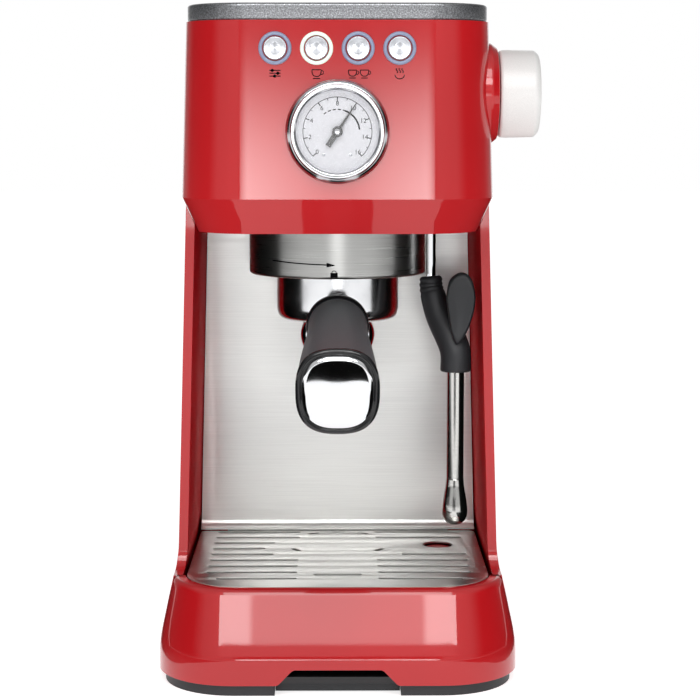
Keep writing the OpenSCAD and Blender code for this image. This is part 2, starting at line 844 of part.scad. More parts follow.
module wand_pipe() color(chrome) {
  difference() {
    union() {
      translate([wand_x, wand_y, z_ball]) sphere(ball_r);
      line(wand_path(z_tip + tip_h - 6), pipe_r);
    }
    translate([wand_x, wand_y, z_ball]) cylinder(r = 1.2, h = 10);
    for (x = [trunnion_in - 0.3, -far - trunnion_in + 0.3])
      translate([wand_x + x, wand_y, z_ball]) rod_x(trunnion_r + run_gap, far);
  }
}

module wand_grip() color(rubber) {
  neck = 6;
  foot = 7.6;
  difference() {
    union() {
      hull() {
        translate([wand_x, wand_y, z_kink - 6]) cylinder(r = neck, h = 6.3, $fn = hull_fn);
        translate([low_x, low_y, z_grip_low + 12]) cylinder(r = foot, h = 8, $fn = hull_fn);
      }
      translate([low_x, low_y, z_grip_low]) cylinder(r = foot, h = 16);
      // thumb tab
      hull() {
        translate([low_x + 1.5, low_y - 9, z_kink - 3]) sphere(4.6, $fn = hull_fn);
        translate([low_x + 0.5, low_y - 9, z_kink + 1]) sphere(3, $fn = hull_fn);
        translate([low_x, low_y - 3, z_grip_low + 16]) sphere(3.2, $fn = hull_fn);
      }
    }
    line(wand_path(z_grip_low - 5), pipe_r + 0.05);
    translate([low_x, low_y, z_grip_low - 1]) cylinder(r = sleeve_r + 0.05, h = 6);
  }
}

module wand_sleeve() color(steel) {
  z0 = z_tip + tip_h;
  translate([low_x, low_y, z0]) difference() {
    cylinder(r = sleeve_r, h = z_grip_low + 5 - z0);
    translate([0, 0, -1]) cylinder(r = pipe_r + 0.05, h = far);
  }
}

module wand_tip() color(steel) {
  translate([low_x, low_y, z_tip]) difference() {
    rotate_extrude() union() {
      polygon([[0, tip_r], [tip_r, tip_r], [sleeve_r, tip_h], [0, tip_h]]);
      intersection() {
        translate([0, tip_r]) circle(tip_r);
        square([tip_r, tip_r + eps]);
      }
    }
    translate([0, 0, -1]) cylinder(r = 1, h = far);
    translate([0, 0, tip_h - 6]) cylinder(r = pipe_r + 0.05, h = 10);
  }
}

// Brew group

module group_collar() color(steel) {
  h = floor_z - z_collar;
  translate([0, group_y, z_collar]) difference() {
    cylinder(r = collar_r, h = h);
    translate([0, 0, -1]) cylinder(r = group_r + 2, h = h - 2.6);
    cylinder(r = neck_r + 0.5, h = h + 1);
  }
}

module group_head() color(brass) {
  z0 = z_rim - 10;
  slot_a = 16;
  translate([0, group_y, 0]) difference() {
    union() {
      translate([0, 0, z0]) cylinder(r = group_r, h = 14.5);
      translate([0, 0, z0]) cylinder(r = neck_r, h = z_block - z0);
    }
    translate([0, 0, z0 - 1]) cylinder(r = throat_r, h = 12);
    translate([0, 0, lug_z - 0.5]) cylinder(r = lug_r + slide_gap, h = lug_h + 1);
    // ways in for the lugs
    for (s = [0, 180]) rotate(s - twist) translate([0, -slot_a / 2, z0 - 1])
      cube([lug_r + slide_gap, slot_a, lug_z - z0 + 2]);
    translate([0, 0, z_rim]) cylinder(r = pf_r + 0.4, h = 6);
    translate([0, 0, z_rim + 5]) cylinder(r = basket_r, h = 3);
    cylinder(r = 1.5, h = far);
  }
}

module group_gasket() color(rubber) {
  translate([0, group_y, z_rim + 1.3]) difference() {
    cylinder(r = pf_r + 0.3, h = 4.7);
    translate([0, 0, -1]) cylinder(r = basket_r + 0.3, h = 8);
  }
}

module shower_screen() color(steel) {
  translate([0, group_y, z_rim + 3]) difference() {
    cylinder(r = basket_r - 0.2, h = 1.2);
    translate([0, 0, -1]) cylinder(r = 2.1, h = 4);
    for (ring = [1 : 4]) for (i = [0 : 6 * ring - 1]) rotate(60 * i / ring)
      translate([ring * 5, 0, -1]) cylinder(r = 0.6, h = 4, $fn = 16);
  }
}

module screen_screw() color(steel) {
  translate([0, group_y, z_rim + 2.1]) {
    cylinder(r = 4, h = 0.9);
    cylinder(r = 2, h = 5.9);
  }
}

// The handle's own frame: its axis leaves the group's axis towards -Y and falls
module along_handle() {
  translate([0, group_y, handle_z]) rotate([handle_tilt, 0, 0]) children();
}

module portafilter_body() color(chrome) {
  edge = 4;
  boss = 9;
  difference() {
    union() {
      translate([0, group_y, z_pf]) rotate_extrude() union() {
        translate([0, edge]) square([pf_r, z_rim - z_pf - edge]);
        square([pf_r - edge, edge + 1]);
        translate([pf_r - edge, edge]) circle(edge);
      }
      intersection() {
        translate([-lug_r, group_y - 7, lug_z]) cube([2 * lug_r, 14, lug_h]);
        translate([0, group_y, lug_z]) cylinder(r = lug_r, h = lug_h);
      }
      along_handle() translate([0, -grip_s, 0]) rod_y(boss, grip_s - pf_r + 5);
    }
    translate([0, group_y, z_pf + pf_floor]) cylinder(r = pf_bore_r, h = far);
    translate([0, group_y, z_pf - 1]) cylinder(r = 4, h = 10);
    along_handle() translate([0, -grip_s - 1, 0]) rod_y(rod_r + 0.05, grip_s - pf_r);
  }
}

module filter_basket() color(steel) {
  depth = z_rim - z_pf - pf_floor - 4;
  translate([0, group_y, z_rim - depth]) difference() {
    union() {
      cylinder(r = basket_or, h = depth + 1);
      translate([0, 0, depth]) cylinder(r = pf_r - 0.5, h = 1);
    }
    translate([0, 0, basket_t]) cylinder(r = basket_r, h = depth + 2);
    for (ring = [1 : 4]) for (i = [0 : 6 * ring - 1]) rotate(60 * i / ring)
      translate([ring * 5.2, 0, -1]) cylinder(r = 0.6, h = 4, $fn = 16);
  }
}

module portafilter_spout() color(chrome) {
  arm_r = 6.5;
  bore_r = 2.6;
  x = spout_pitch / 2;
  z_arm = z_pf - 10;
  translate([0, group_y, 0]) difference() {
    union() {
      translate([0, 0, z_arm]) cylinder(r = 8, h = z_pf - z_arm);
      translate([-x, 0, z_arm]) rod_x(arm_r, spout_pitch);
      for (s = [-1, 1]) translate([s * x, 0, 0]) {
        translate([0, 0, z_arm]) sphere(arm_r);
        translate([0, 0, z_pf - spout_drop]) cylinder(r1 = 4.4, r2 = arm_r, h = z_arm - z_pf + spout_drop);
      }
    }
    translate([0, 0, z_arm]) cylinder(r = 3.5, h = far);
    translate([-x, 0, z_arm]) rod_x(bore_r, spout_pitch);
    for (s = [-1, 1]) translate([s * x, 0, z_pf - spout_drop - 1])
      cylinder(r = bore_r, h = z_arm - z_pf + spout_drop + 1);
  }
}

module handle_rod() color(steel) {
  along_handle() translate([0, -rod_l, 0]) rod_y(rod_r, rod_l - pf_r - 2);
}

// A rounded outline across the handle, at a distance along it
module handle_section(s, w, h, r) {
  translate([0, -s, 0]) rotate([90, 0, 0]) linear_extrude(eps) hull()
    for (x = [-1, 1]) for (z = [-1, 1])
      translate([x * (w / 2 - r), z * (h / 2 - r)]) circle(r, $fn = hull_fn);
}

module handle_grip() color(rubber) {
  end = handle_l - 4;
  difference() {
    along_handle() union() {
      hull() {
        handle_section(grip_s, 27, 27, 13.4);
        handle_section(grip_s + 48, 31, 31, 14);
      }
      hull() {
        handle_section(grip_s + 48, 31, 31, 14);
        handle_section(end, handle_w, handle_w + 2, 14);
      }
    }
    along_handle() translate([0, -rod_l - 0.05, 0]) rod_y(rod_r + 0.05, far);
  }
}

module handle_cap() color(chrome) {
  w = handle_w - 5.6;
  along_handle() hull() {
    handle_section(handle_l - 4 + eps, w, w + 1.6, 12);
    handle_section(handle_l - 2, w, w + 1.6, 12);
    handle_section(handle_l - eps, w - 6, w - 4.4, 10);
  }
}

// Inside

module thermoblock() color("#B8BABC") {
  hw = 40;
  y0 = group_y - 36;
  y1 = y_panel - 7;
  h = 36;
  translate([-hw, y0, z_block]) cube([2 * hw, y1 - y0, h]);
  // lugs that reach the upright plate
  for (s = [-1, 1]) translate([s * 28 - 5, y1 - 1, z_block + 6])
    cube([10, y_plate - plate_t - y1 + 1, 10]);
  // fins
  for (i = [0 : 4]) translate([-hw, y0 + 10 + 14 * i, z_block + h - eps]) cube([2 * hw - 20, 2, 3]);
}

module pump() color("#3C4A5A") {
  translate([0, pump_y, z_pump]) {
    cylinder(r = 12, h = pump_h - 6);
    translate([0, 0, 12]) cylinder(r = 21, h = pump_h - 34);
    translate([-21, -17, 0]) cube([42, 34, 8]);
    translate([0, 0, pump_h - 7]) cylinder(r = 5, h = 7);
  }
}

module pump_mounts() color(rubber) {
  for (s = [-1, 1]) translate([s * 14 - 4, pump_y - 12, z_floor]) cube([8, 24, z_pump - z_floor]);
}

module solenoid_valve() color("#2D3E6B") {
  x = -42;
  z = base_h + 70;
  translate([x - 12, y_plate, z]) cube([24, 22, 26]);
  translate([x, y_plate + 11, z + 26 - eps]) cylinder(r = 9, h = 24);
}

module control_board() color("#1F5B3A") {
  y = y_cover - cover_t;
  z = z_bot - 80;
  hw = 45;
  translate([-hw, y - 7, z]) cube([2 * hw, 1.6, 80]);
  for (sx = [-1, 1]) for (z1 = [6, 74])
    translate([sx * (hw - 6), y - 5.4 - eps, z + z1]) rod_y(3, 5.4 + eps);
  translate([-30, y - 23, z + 10]) cube([26, 16 + eps, 22]);
  translate([12, y - 19, z + 44]) cube([20, 12 + eps, 16]);
}

module water_lines() color("#D9DADB") {
  block_b = y_panel - 7;
  block_f = group_y - 36;
  y_valve = y_knob + 9;
  x_valve = hw_head - 30;
  z_valve = z_knob + 5;
  // tank to pump
  line([[0, y_outlet, z_tank - 25], [0, y_outlet, z_hose_low], [0, pump_y, z_hose_low],
    [0, pump_y, z_pump]], line_r);
  // pump to heater block
  line([[0, pump_y, z_pump + pump_h], [0, pump_y, z_feed], [0, block_b, z_feed]], line_r);
  // heater block to steam valve
  line([[30, group_y - 4, z_block + 36], [30, group_y - 4, z_valve], [x_valve, group_y - 4, z_valve],
    [x_valve, y_valve, z_valve]], line_r);
  // steam valve to wand
  line([[x_valve + 6, y_knob, z_knob - 9], [x_valve + 6, y_knob, z_knob - 22],
    [wand_x, wand_y, z_knob - 22], [wand_x, wand_y, z_ball + 11]], line_r);
  // heater block to gauge
  line([[0, block_f, z_gauge], [0, y_head + 32, z_gauge]], 1.5);
}

module cable_gland() color(black) {
  translate([gland_x, y_b, gland_z]) difference() {
    union() {
      translate([0, -10, 0]) rod_y(gland_r, 12);
      rod_y(gland_r + 2.5, 2);
    }
    translate([0, -11, 0]) rod_y(3.6, 20);
  }
}

foot_ring();
chassis_base();
chassis_plate();
body_shell();
head_shell();
head_floor();
back_panel();
rear_cover();
top_cover();
cup_plate();
drip_tray();
tray_front();
drip_grid();
tray_float();
tank_seat();
water_tank();
tank_valve();
lid_hinge_rod();
tank_lid();
button_program();
button_single();
button_double();
button_steam();
button_rings();
button_board();
gauge_case();
gauge_bezel();
gauge_dial();
gauge_glass();
gauge_needle();
knob_boss();
steam_knob();
valve_spindle();
steam_valve();
wand_socket();
wand_seat();
wand_pipe();
wand_grip();
wand_sleeve();
wand_tip();
group_collar();
group_head();
group_gasket();
shower_screen();
screen_screw();
portafilter_body();
filter_basket();
portafilter_spout();
handle_rod();
handle_grip();
handle_cap();
thermoblock();
pump();
pump_mounts();
solenoid_valve();
control_board();
water_lines();
gland_plate();
cable_gland();
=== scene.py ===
"""Looks of an espresso machine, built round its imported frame."""

import json
import math

import bmesh
import bpy
from mathutils import Matrix, Vector

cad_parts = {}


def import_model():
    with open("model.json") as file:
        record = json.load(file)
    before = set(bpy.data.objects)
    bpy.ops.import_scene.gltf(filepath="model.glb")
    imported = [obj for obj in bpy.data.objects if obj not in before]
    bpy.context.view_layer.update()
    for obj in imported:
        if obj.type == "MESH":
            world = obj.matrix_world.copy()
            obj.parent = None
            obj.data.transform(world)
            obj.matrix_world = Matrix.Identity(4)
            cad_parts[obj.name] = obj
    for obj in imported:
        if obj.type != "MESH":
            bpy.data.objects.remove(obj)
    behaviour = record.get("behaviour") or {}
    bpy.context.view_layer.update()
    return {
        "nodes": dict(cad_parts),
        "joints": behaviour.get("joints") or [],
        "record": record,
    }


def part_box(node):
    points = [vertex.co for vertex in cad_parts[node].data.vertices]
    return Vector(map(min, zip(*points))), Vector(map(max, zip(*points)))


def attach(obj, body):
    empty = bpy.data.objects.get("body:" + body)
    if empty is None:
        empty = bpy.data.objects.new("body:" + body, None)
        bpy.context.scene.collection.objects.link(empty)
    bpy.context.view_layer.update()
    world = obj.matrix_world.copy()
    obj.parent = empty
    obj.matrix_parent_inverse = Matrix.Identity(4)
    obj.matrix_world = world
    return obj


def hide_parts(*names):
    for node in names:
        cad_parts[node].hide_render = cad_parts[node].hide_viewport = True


bl_info = {
    "name": "Espresso Machine Looks",
    "version": (1, 0, 0),
    "blender": (4, 5, 0),
    "location": "View3D > Sidebar > Espresso",
    "description": "Builds the visible pieces of an espresso machine round its frame",
    "category": "Add Mesh",
}

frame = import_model()
MM = 0.001


def span(node):
    """Lowest and highest corner of a frame node, in millimetres."""
    lo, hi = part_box(node)
    return lo / MM, hi / MM


# Places taken from the frame, in millimetres
SHELL_LO, SHELL_HI = span("body_shell")
COVER_LO, COVER_HI = span("tray_front")
HEAD_LO, HEAD_HI = span("head_shell")
LID_LO, LID_HI = span("top_cover")
REAR_LID_LO, REAR_LID_HI = span("tank_lid")
GRID_LO, GRID_HI = span("drip_grid")
RING_LO, RING_HI = span("button_rings")
BEZEL_LO, BEZEL_HI = span("gauge_bezel")
KNOB_LO, KNOB_HI = span("steam_knob")
BOSS_LO, BOSS_HI = span("knob_boss")
COLLAR_LO, COLLAR_HI = span("group_collar")
HOLDER_LO, HOLDER_HI = span("portafilter_body")
SPOUT_LO, SPOUT_HI = span("portafilter_spout")
GRIP_LO, GRIP_HI = span("wand_grip")
SLEEVE_LO, SLEEVE_HI = span("wand_sleeve")
TIP_LO, TIP_HI = span("wand_tip")
FLOAT_LO, FLOAT_HI = span("tray_float")

Z_FOOT = SHELL_LO.z
Z_BASE = COVER_HI.z
Z_CREASE = SHELL_HI.z
Z_HEAD = HEAD_LO.z
Z_LID = HEAD_HI.z
Y_FRONT = COVER_LO.y
Y_SEAM = COVER_HI.y
Y_HEAD = HEAD_LO.y
Y_FOOT_BACK = SHELL_HI.y
Y_BACK = HEAD_HI.y
HW_BASE = SHELL_HI.x
HW_HEAD = HEAD_HI.x
HW_LID = LID_HI.x + 0.8
GROUP = Vector((0, (COLLAR_LO.y + COLLAR_HI.y) / 2, 0))
GAUGE = Vector((0, Y_HEAD, (BEZEL_LO.z + BEZEL_HI.z) / 2))
KNOB = (KNOB_LO + KNOB_HI) / 2
BUTTON_Z = (RING_LO.z + RING_HI.z) / 2
BUTTON_R = (RING_HI.z - RING_LO.z) / 2


# ---------------------------------------------------------------- user settings

def linear(hex_code):
    """An sRGB hex colour as linear red, green, blue and alpha."""
    out = []
    for shift in (16, 8, 0):
        c = (hex_code >> shift & 255) / 255
        out.append(c / 12.92 if c <= 0.04045 else ((c + 0.055) / 1.055) ** 2.4)
    return (*out, 1.0)


def colour(name, description, hex_code):
    return bpy.props.FloatVectorProperty(
        name=name, description=description, subtype="COLOR", size=4,
        min=0, max=1, default=linear(hex_code))


def length(name, description, millimetres):
    return bpy.props.FloatProperty(
        name=name, description=description, unit="LENGTH", min=0,
        default=millimetres * MM)


class EspressoColours(bpy.types.PropertyGroup):
    """Colours of the finishes"""
    enamel: colour("Enamel", "Stove enamel of the housing", 0xBE0A14)
    lid: colour("Lid", "Flake lacquer of the lid", 0x7A7B7E)
    steel: colour("Steel", "Brushed stainless steel", 0xD2D1CE)
    chrome: colour("Chrome", "Chrome plate", 0xE3E4E6)
    black: colour("Black", "Moulded black plastic", 0x18181A)
    rubber: colour("Rubber", "Black rubber", 0x26272A)
    grip: colour("Grip", "Soft-touch coat of the handle", 0x585A5D)
    knob: colour("Knob", "White steam knob", 0xEDECEA)
    ring: colour("Ring", "Light ring at rest", 0x9498B4)
    dial: colour("Dial", "Gauge dial", 0xE0E0E5)
    ink: colour("Ink", "Printed marks", 0x141416)


class EspressoSizes(bpy.types.PropertyGroup):
    """Sizes that only the looks need"""
    wall: length("Wall", "Thickness of the enamelled sheet", 2.5)
    rim: length("Rim", "Radius of the enamelled edges", 1.1)
    column_wall: length("Column wall", "Thickness of the side walls", 4.5)
    print_height: length("Print height", "How far printed marks stand proud", 0.06)
    rib: length("Rib", "Depth of the ribs on the wand's grip", 0.45)
    slot_edge: length("Slot edge", "Rolled edge of the drain slots", 0.45)


# ---------------------------------------------------------------- mesh helpers

def soften(points, radius, steps=4):
    """A polyline with its inner corners rounded."""
    points = [Vector(p) for p in points]
    out = [points[0]]
    for a, b, c in zip(points, points[1:], points[2:]):
        r = min(radius, (a - b).length / 2, (c - b).length / 2)
        p = b + (a - b).normalized() * r
        q = b + (c - b).normalized() * r
        for i in range(steps + 1):
            t = i / steps
            out.append(p * (1 - t) ** 2 + b * 2 * t * (1 - t) + q * t ** 2)
    out.append(points[-1])
    return out


def turned(profile, segments=96):
    """Vertices and faces of a lathe profile of (radius, height) about Z."""
    verts, faces, rings = [], [], []
    for r, h in profile:
        if r < 1e-6:
            rings.append([len(verts)])
            verts.append(Vector((0, 0, h)))
            continue
        rings.append(list(range(len(verts), len(verts) + segments)))
        for k in range(segments):
            a = 2 * math.pi * k / segments
            verts.append(Vector((r * math.cos(a), r * math.sin(a), h)))
    for low, high in zip(rings, rings[1:]):
        for k in range(segments):
            n = (k + 1) % segments
            if len(low) == 1 and len(high) > 1:
                faces.append((low[0], high[n], high[k]))
            elif len(high) == 1 and len(low) > 1:
                faces.append((low[k], low[n], high[0]))
            elif len(low) > 1:
                faces.append((low[k], low[n], high[n], high[k]))
    return verts, faces


def lofted(loops, capped=True):
    """Vertices and faces through closed loops that have the same number of points."""
    n = len(loops[0])
    verts = [Vector(p) for loop in loops for p in loop]
    faces = []
    for i in range(len(loops) - 1):
        for k in range(n):
            a, b = i * n + k, i * n + (k + 1) % n
            faces.append((a, b, b + n, a + n))
    if capped:
        faces.append(tuple(reversed(range(n))))
        faces.append(tuple(range(len(verts) - n, len(verts))))
    return verts, faces


def swept(path, radii, sides=32, capped=True):
    """A round tube along a path, with one radius or one at each point."""
    path = [Vector(p) for p in path]
    radii = radii if hasattr(radii, "__len__") else [radii] * len(path)
    loops, side = [], Vector((1, 0, 0))
    for i, p in enumerate(path):
        along = (path[min(i + 1, len(path) - 1)] - path[max(i - 1, 0)]).normalized()
        side = (side - along * side.dot(along)).normalized()
        up = along.cross(side)
        loops.append([
            p + (side * math.cos(a) + up * math.sin(a)) * radii[i]
            for a in (2 * math.pi * k / sides for k in range(sides))])
    return lofted(loops, capped)


def smooth_path(points, steps=8):
    """Points on a smooth curve through the given points."""
    pts = [Vector(p) for p in points]
    pts = [pts[0] * 2 - pts[1], *pts, pts[-1] * 2 - pts[-2]]
    out = []
    for a, b, c, d in zip(pts, pts[1:], pts[2:], pts[3:]):
        for i in range(steps):
            t = i / steps
            out.append(0.5 * (2 * b + (c - a) * t + (2 * a - 5 * b + 4 * c - d) * t ** 2
                              + (3 * b - a - 3 * c + d) * t ** 3))
    out.append(pts[-2])
    return out


def facing(direction, at=(0, 0, 0)):
    """A transform that takes local Z to a direction and the origin to a place."""
    turn = Vector((0, 0, 1)).rotation_difference(Vector(direction))
    return Matrix.Translation(Vector(at)) @ turn.to_matrix().to_4x4()


class Shape:
    """Collects parts of one mesh, in millimetres."""

    def __init__(self):
        self.verts, self.faces, self.slots = [], [], []

    def add(self, part, transform=None, slot=0):
        verts, faces = part
        start = len(self.verts)
        self.verts += [transform @ v if transform else v for v in verts]
        self.faces += [tuple(i + start for i in f) for f in faces]
        self.slots += slot if isinstance(slot, list) else [slot] * len(faces)
        return self

    def build(self, name, materials, body, slot=None, replaces=(), angle=30,
              bevel=0, mirror=False, weighted=True, frame_at=None):
        """Makes the piece and lets it ride on its body. frame_at is the piece's own place and turn."""
        materials = [materials] if isinstance(materials, bpy.types.Material) else materials
        place = frame_at or Matrix.Identity(4)
        mesh = bpy.data.meshes.new(name)
        mesh.from_pydata([v * MM for v in self.verts], [], self.faces)
        mesh.polygons.foreach_set("material_index", self.slots)
        work = bmesh.new()
        work.from_mesh(mesh)
        bmesh.ops.remove_doubles(work, verts=work.verts, dist=1e-7)
        bmesh.ops.recalc_face_normals(work, faces=work.faces)
        work.to_mesh(mesh)
        work.free()
        for m in materials:
            mesh.materials.append(m)
        mesh.shade_smooth()
        mesh.set_sharp_from_angle(angle=math.radians(angle))
        piece = bpy.data.objects.new(name, mesh)
        bpy.context.scene.collection.objects.link(piece)
        piece.matrix_world = Matrix.Translation(place.to_translation() * MM) @ (
            place.to_3x3().to_4x4())
        if mirror:
            m = piece.modifiers.new("Mirror", "MIRROR")
            m.merge_threshold = 1e-6
        if bevel:
            b = piece.modifiers.new("Rounded edges", "BEVEL")
            b.width = bevel * MM
            b.segments = 3
            b.limit_method = "ANGLE"
            b.angle_limit = math.radians(50)
        if weighted:
            piece.modifiers.new("Flat faces", "WEIGHTED_NORMAL").keep_sharp = True
        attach(piece, body)
        if replaces:
            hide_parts(*replaces)
        return piece


def lathe_piece(name, profile, direction, at, material, body, slot, replaces=(),
                segments=96, angle=30):
    """A turned piece whose own Z lies along a direction."""
    shape = Shape().add(turned(profile, segments))
    return shape.build(name, material, body, slot, replaces, angle,
                       frame_at=facing(direction, at))


# ---------------------------------------------------------------- material helpers

def add(tree, kind, links=None, **settings):
    """Adds a node, sets its properties and input values, and links its inputs."""
    made = tree.nodes.new(kind)
    for key, value in settings.items():
        if hasattr(made, key) and key not in made.inputs:
            setattr(made, key, value)
        else:
            made.inputs[key.replace("_", " ")].default_value = value
    for key, socket in (links or {}).items():
        tree.links.new(socket, made.inputs[key])
    return made


def blank(name, **sockets):
    """A material with one Principled shader and its constants."""
    material = bpy.data.materials.new(name)
    material.use_nodes = True
    tree = material.node_tree
    shader = tree.nodes["Principled BSDF"]
    for key, value in sockets.items():
        shader.inputs[key.replace("_", " ")].default_value = value
    return material, tree, shader


def stretched_noise(tree, scale, detail=3.0, rough=0.6):
    """Noise whose grain has its own number of cycles per metre along X, Y and Z."""
    where = add(tree, "ShaderNodeTexCoord")
    fit = add(tree, "ShaderNodeMapping", {"Vector": where.outputs["Object"]})
    fit.inputs["Scale"].default_value = scale
    return add(tree, "ShaderNodeTexNoise", {"Vector": fit.outputs["Vector"]},
               Scale=1.0, Detail=detail, Roughness=rough)


def ramp(tree, factor, stops):
    """A colour ramp with (position, colour) stops; a number stands for a grey."""
    made = add(tree, "ShaderNodeValToRGB", {"Fac": factor})
    for i, (position, value) in enumerate(stops):
        e = made.color_ramp.elements[i] if i < 2 else made.color_ramp.elements.new(position)
        e.position = position
        e.color = value if hasattr(value, "__len__") else (value, value, value, 1)
    return made


def bump(tree, shader, height, distance_mm, strength=1.0):
    """Lets a pattern raise the surface by a distance."""
    made = add(tree, "ShaderNodeBump", {"Height": height}, Strength=strength,
               Distance=distance_mm * MM)
    tree.links.new(made.outputs["Normal"], shader.inputs["Normal"])


def shade(c, factor):
    """A colour made lighter or darker."""
    return (min(1, c[0] * factor), min(1, c[1] * factor), min(1, c[2] * factor), 1)


# ---------------------------------------------------------------- materials

def enamel(c):
    """Stove enamel on sheet steel: a deep gloss with a faint orange peel 4 mm apart."""
    m, tree, shader = blank(
        "stove_enamel_red", Roughness=0.4, Specular_IOR_Level=0.2, Coat_Weight=1.0,
        Coat_Roughness=0.035, Coat_IOR=1.5)
    cloud = stretched_noise(tree, (9, 9, 9), 2.0)
    tint = ramp(tree, cloud.outputs["Fac"], [(0.3, shade(c, 0.9)), (0.7, shade(c, 1.06))])
    tree.links.new(tint.outputs["Color"], shader.inputs["Base Color"])
    peel = stretched_noise(tree, (250, 250, 250), 1.0)
    bump(tree, shader, peel.outputs["Fac"], 0.006)
    return m


def matt_enamel(c):
    """The same enamel on the inner faces of a fold: an even matt red, drawn lighter than the enamel as
    painted light.
    """
    m, tree, shader = blank("stove_enamel_inside_painted_light", Roughness=0.6, Specular_IOR_Level=0.12)
    cloud = stretched_noise(tree, (14, 14, 14), 2.0)
    # Painted light: the red is drawn 1.25 to 1.45 times lighter than the enamel, standing in for the light
    # the inner faces catch.
    tint = ramp(tree, cloud.outputs["Fac"], [(0.3, shade(c, 1.25)), (0.7, shade(c, 1.45))])
    tree.links.new(tint.outputs["Color"], shader.inputs["Base Color"])
    return m


def flake_lacquer(c):
    """Metal-flake lacquer: grey with light flakes, drawn about 0.7 mm across so that they show."""
    m, tree, shader = blank("flake_lacquer_grey", Metallic=0.85, Coat_Weight=0.25,
                            Coat_Roughness=0.2)
    grains = stretched_noise(tree, (1400, 1400, 1400), 2.0, 0.8)
    tint = ramp(tree, grains.outputs["Fac"],
                [(0.38, shade(c, 0.62)), (0.5, c), (0.66, shade(c, 1.9))])
    tree.links.new(tint.outputs["Color"], shader.inputs["Base Color"])
    gloss = ramp(tree, grains.outputs["Fac"], [(0.35, 0.42), (0.65, 0.27)])
    tree.links.new(gloss.outputs["Color"], shader.inputs["Roughness"])
    return m


def brushed(name, c, along, rough=0.3, depth=0.004, fine=1700, tone=0.84):
    """Belt-brushed stainless: fine streaks along one axis, drawn 0.6 mm wide so that they show."""
    m, tree, shader = blank(name, Metallic=1.0)
    scale = [fine, fine, fine]
    for axis in along:
        scale["XYZ".index(axis)] = 22
    streaks = stretched_noise(tree, scale, 4.0, 0.7)
    tint = ramp(tree, streaks.outputs["Fac"], [(0.25, shade(c, tone)), (0.75, shade(c, 1.04))])
    tree.links.new(tint.outputs["Color"], shader.inputs["Base Color"])
    gloss = ramp(tree, streaks.outputs["Fac"], [(0.2, rough * 1.3), (0.8, rough * 0.8)])
    tree.links.new(gloss.outputs["Color"], shader.inputs["Roughness"])
    bump(tree, shader, streaks.outputs["Fac"], depth)
    return m


def chrome_plate(name, c, rough=0.05):
    """Chrome plate: a clear mirror with faint polishing haze."""
    m, tree, shader = blank(name, Metallic=1.0, Base_Color=c)
    haze = stretched_noise(tree, (60, 60, 60), 2.0)
    gloss = ramp(tree, haze.outputs["Fac"], [(0.3, rough * 0.7), (0.7, rough * 1.5)])
    tree.links.new(gloss.outputs["Color"], shader.inputs["Roughness"])
    return m


def spun_aluminium(c):
    """Diamond-spun aluminium: concentric tool marks that spread the light into a bow tie."""
    m, tree, shader = blank("spun_aluminium", Metallic=1.0, Roughness=0.34, Anisotropic=0.85)
    where = add(tree, "ShaderNodeTexCoord")
    radius = add(tree, "ShaderNodeVectorMath", {0: where.outputs["Object"]}, operation="LENGTH")
    rings = add(tree, "ShaderNodeTexNoise", noise_dimensions="1D", Scale=5200.0, Detail=2.0)
    tree.links.new(radius.outputs["Value"], rings.inputs["W"])
    tint = ramp(tree, rings.outputs["Fac"], [(0.3, shade(c, 0.88)), (0.7, shade(c, 1.06))])
    tree.links.new(tint.outputs["Color"], shader.inputs["Base Color"])
    tangent = add(tree, "ShaderNodeTangent", direction_type="RADIAL", axis="Z")
    tree.links.new(tangent.outputs["Tangent"], shader.inputs["Tangent"])
    return m


def moulded(name, c, rough=0.4, grain_mm=0.5, depth=0.01, **sockets):
    """Moulded plastic or rubber: an even colour with the fine spark-eroded grain of its tool."""
    m, tree, shader = blank(name, Base_Color=c, **sockets)
    cycles = 1 / (grain_mm * MM)
    grain = stretched_noise(tree, (cycles, cycles, cycles), 2.0)
    gloss = ramp(tree, grain.outputs["Fac"], [(0.3, rough * 0.88), (0.7, min(1, rough * 1.12))])
    tree.links.new(gloss.outputs["Color"], shader.inputs["Roughness"])
    tint = ramp(tree, grain.outputs["Fac"], [(0.3, shade(c, 0.92)), (0.7, shade(c, 1.08))])
    tree.links.new(tint.outputs["Color"], shader.inputs["Base Color"])
    bump(tree, shader, grain.outputs["Fac"], depth)
    return m


def clear(name, c, rough, alpha, weight):
    """Clear or smoked moulded plastic and glass: seen through, with a soft gloss on top."""
    m, tree, shader = blank(name, Base_Color=c, Transmission_Weight=weight, Alpha=alpha, IOR=1.49)
    haze = stretched_noise(tree, (30, 30, 30), 2.0)
    gloss = ramp(tree, haze.outputs["Fac"], [(0.3, rough * 0.7), (0.7, rough * 1.4)])
    tree.links.new(gloss.outputs["Color"], shader.inputs["Roughness"])
    return m


def lit_ring(name, c, strength):
    """Frosted acrylic light ring: milky, and lit from behind when strength is set."""
    m, tree, shader = blank(name, Base_Color=c, Roughness=0.28, Subsurface_Weight=0.2,
                            Emission_Strength=strength, Emission_Color=c)
    milk = stretched_noise(tree, (900, 900, 900), 2.0)
    tint = ramp(tree, milk.outputs["Fac"], [(0.3, shade(c, 0.9)), (0.7, shade(c, 1.1))])
    tree.links.new(tint.outputs["Color"], shader.inputs["Base Color"])
    return m


def metal(name, c, rough, grain_mm, depth):
    """Cast, machined or plated metal with an even grain."""
    return moulded(name, c, rough, grain_mm, depth, Metallic=1.0)


MATERIALS = {}


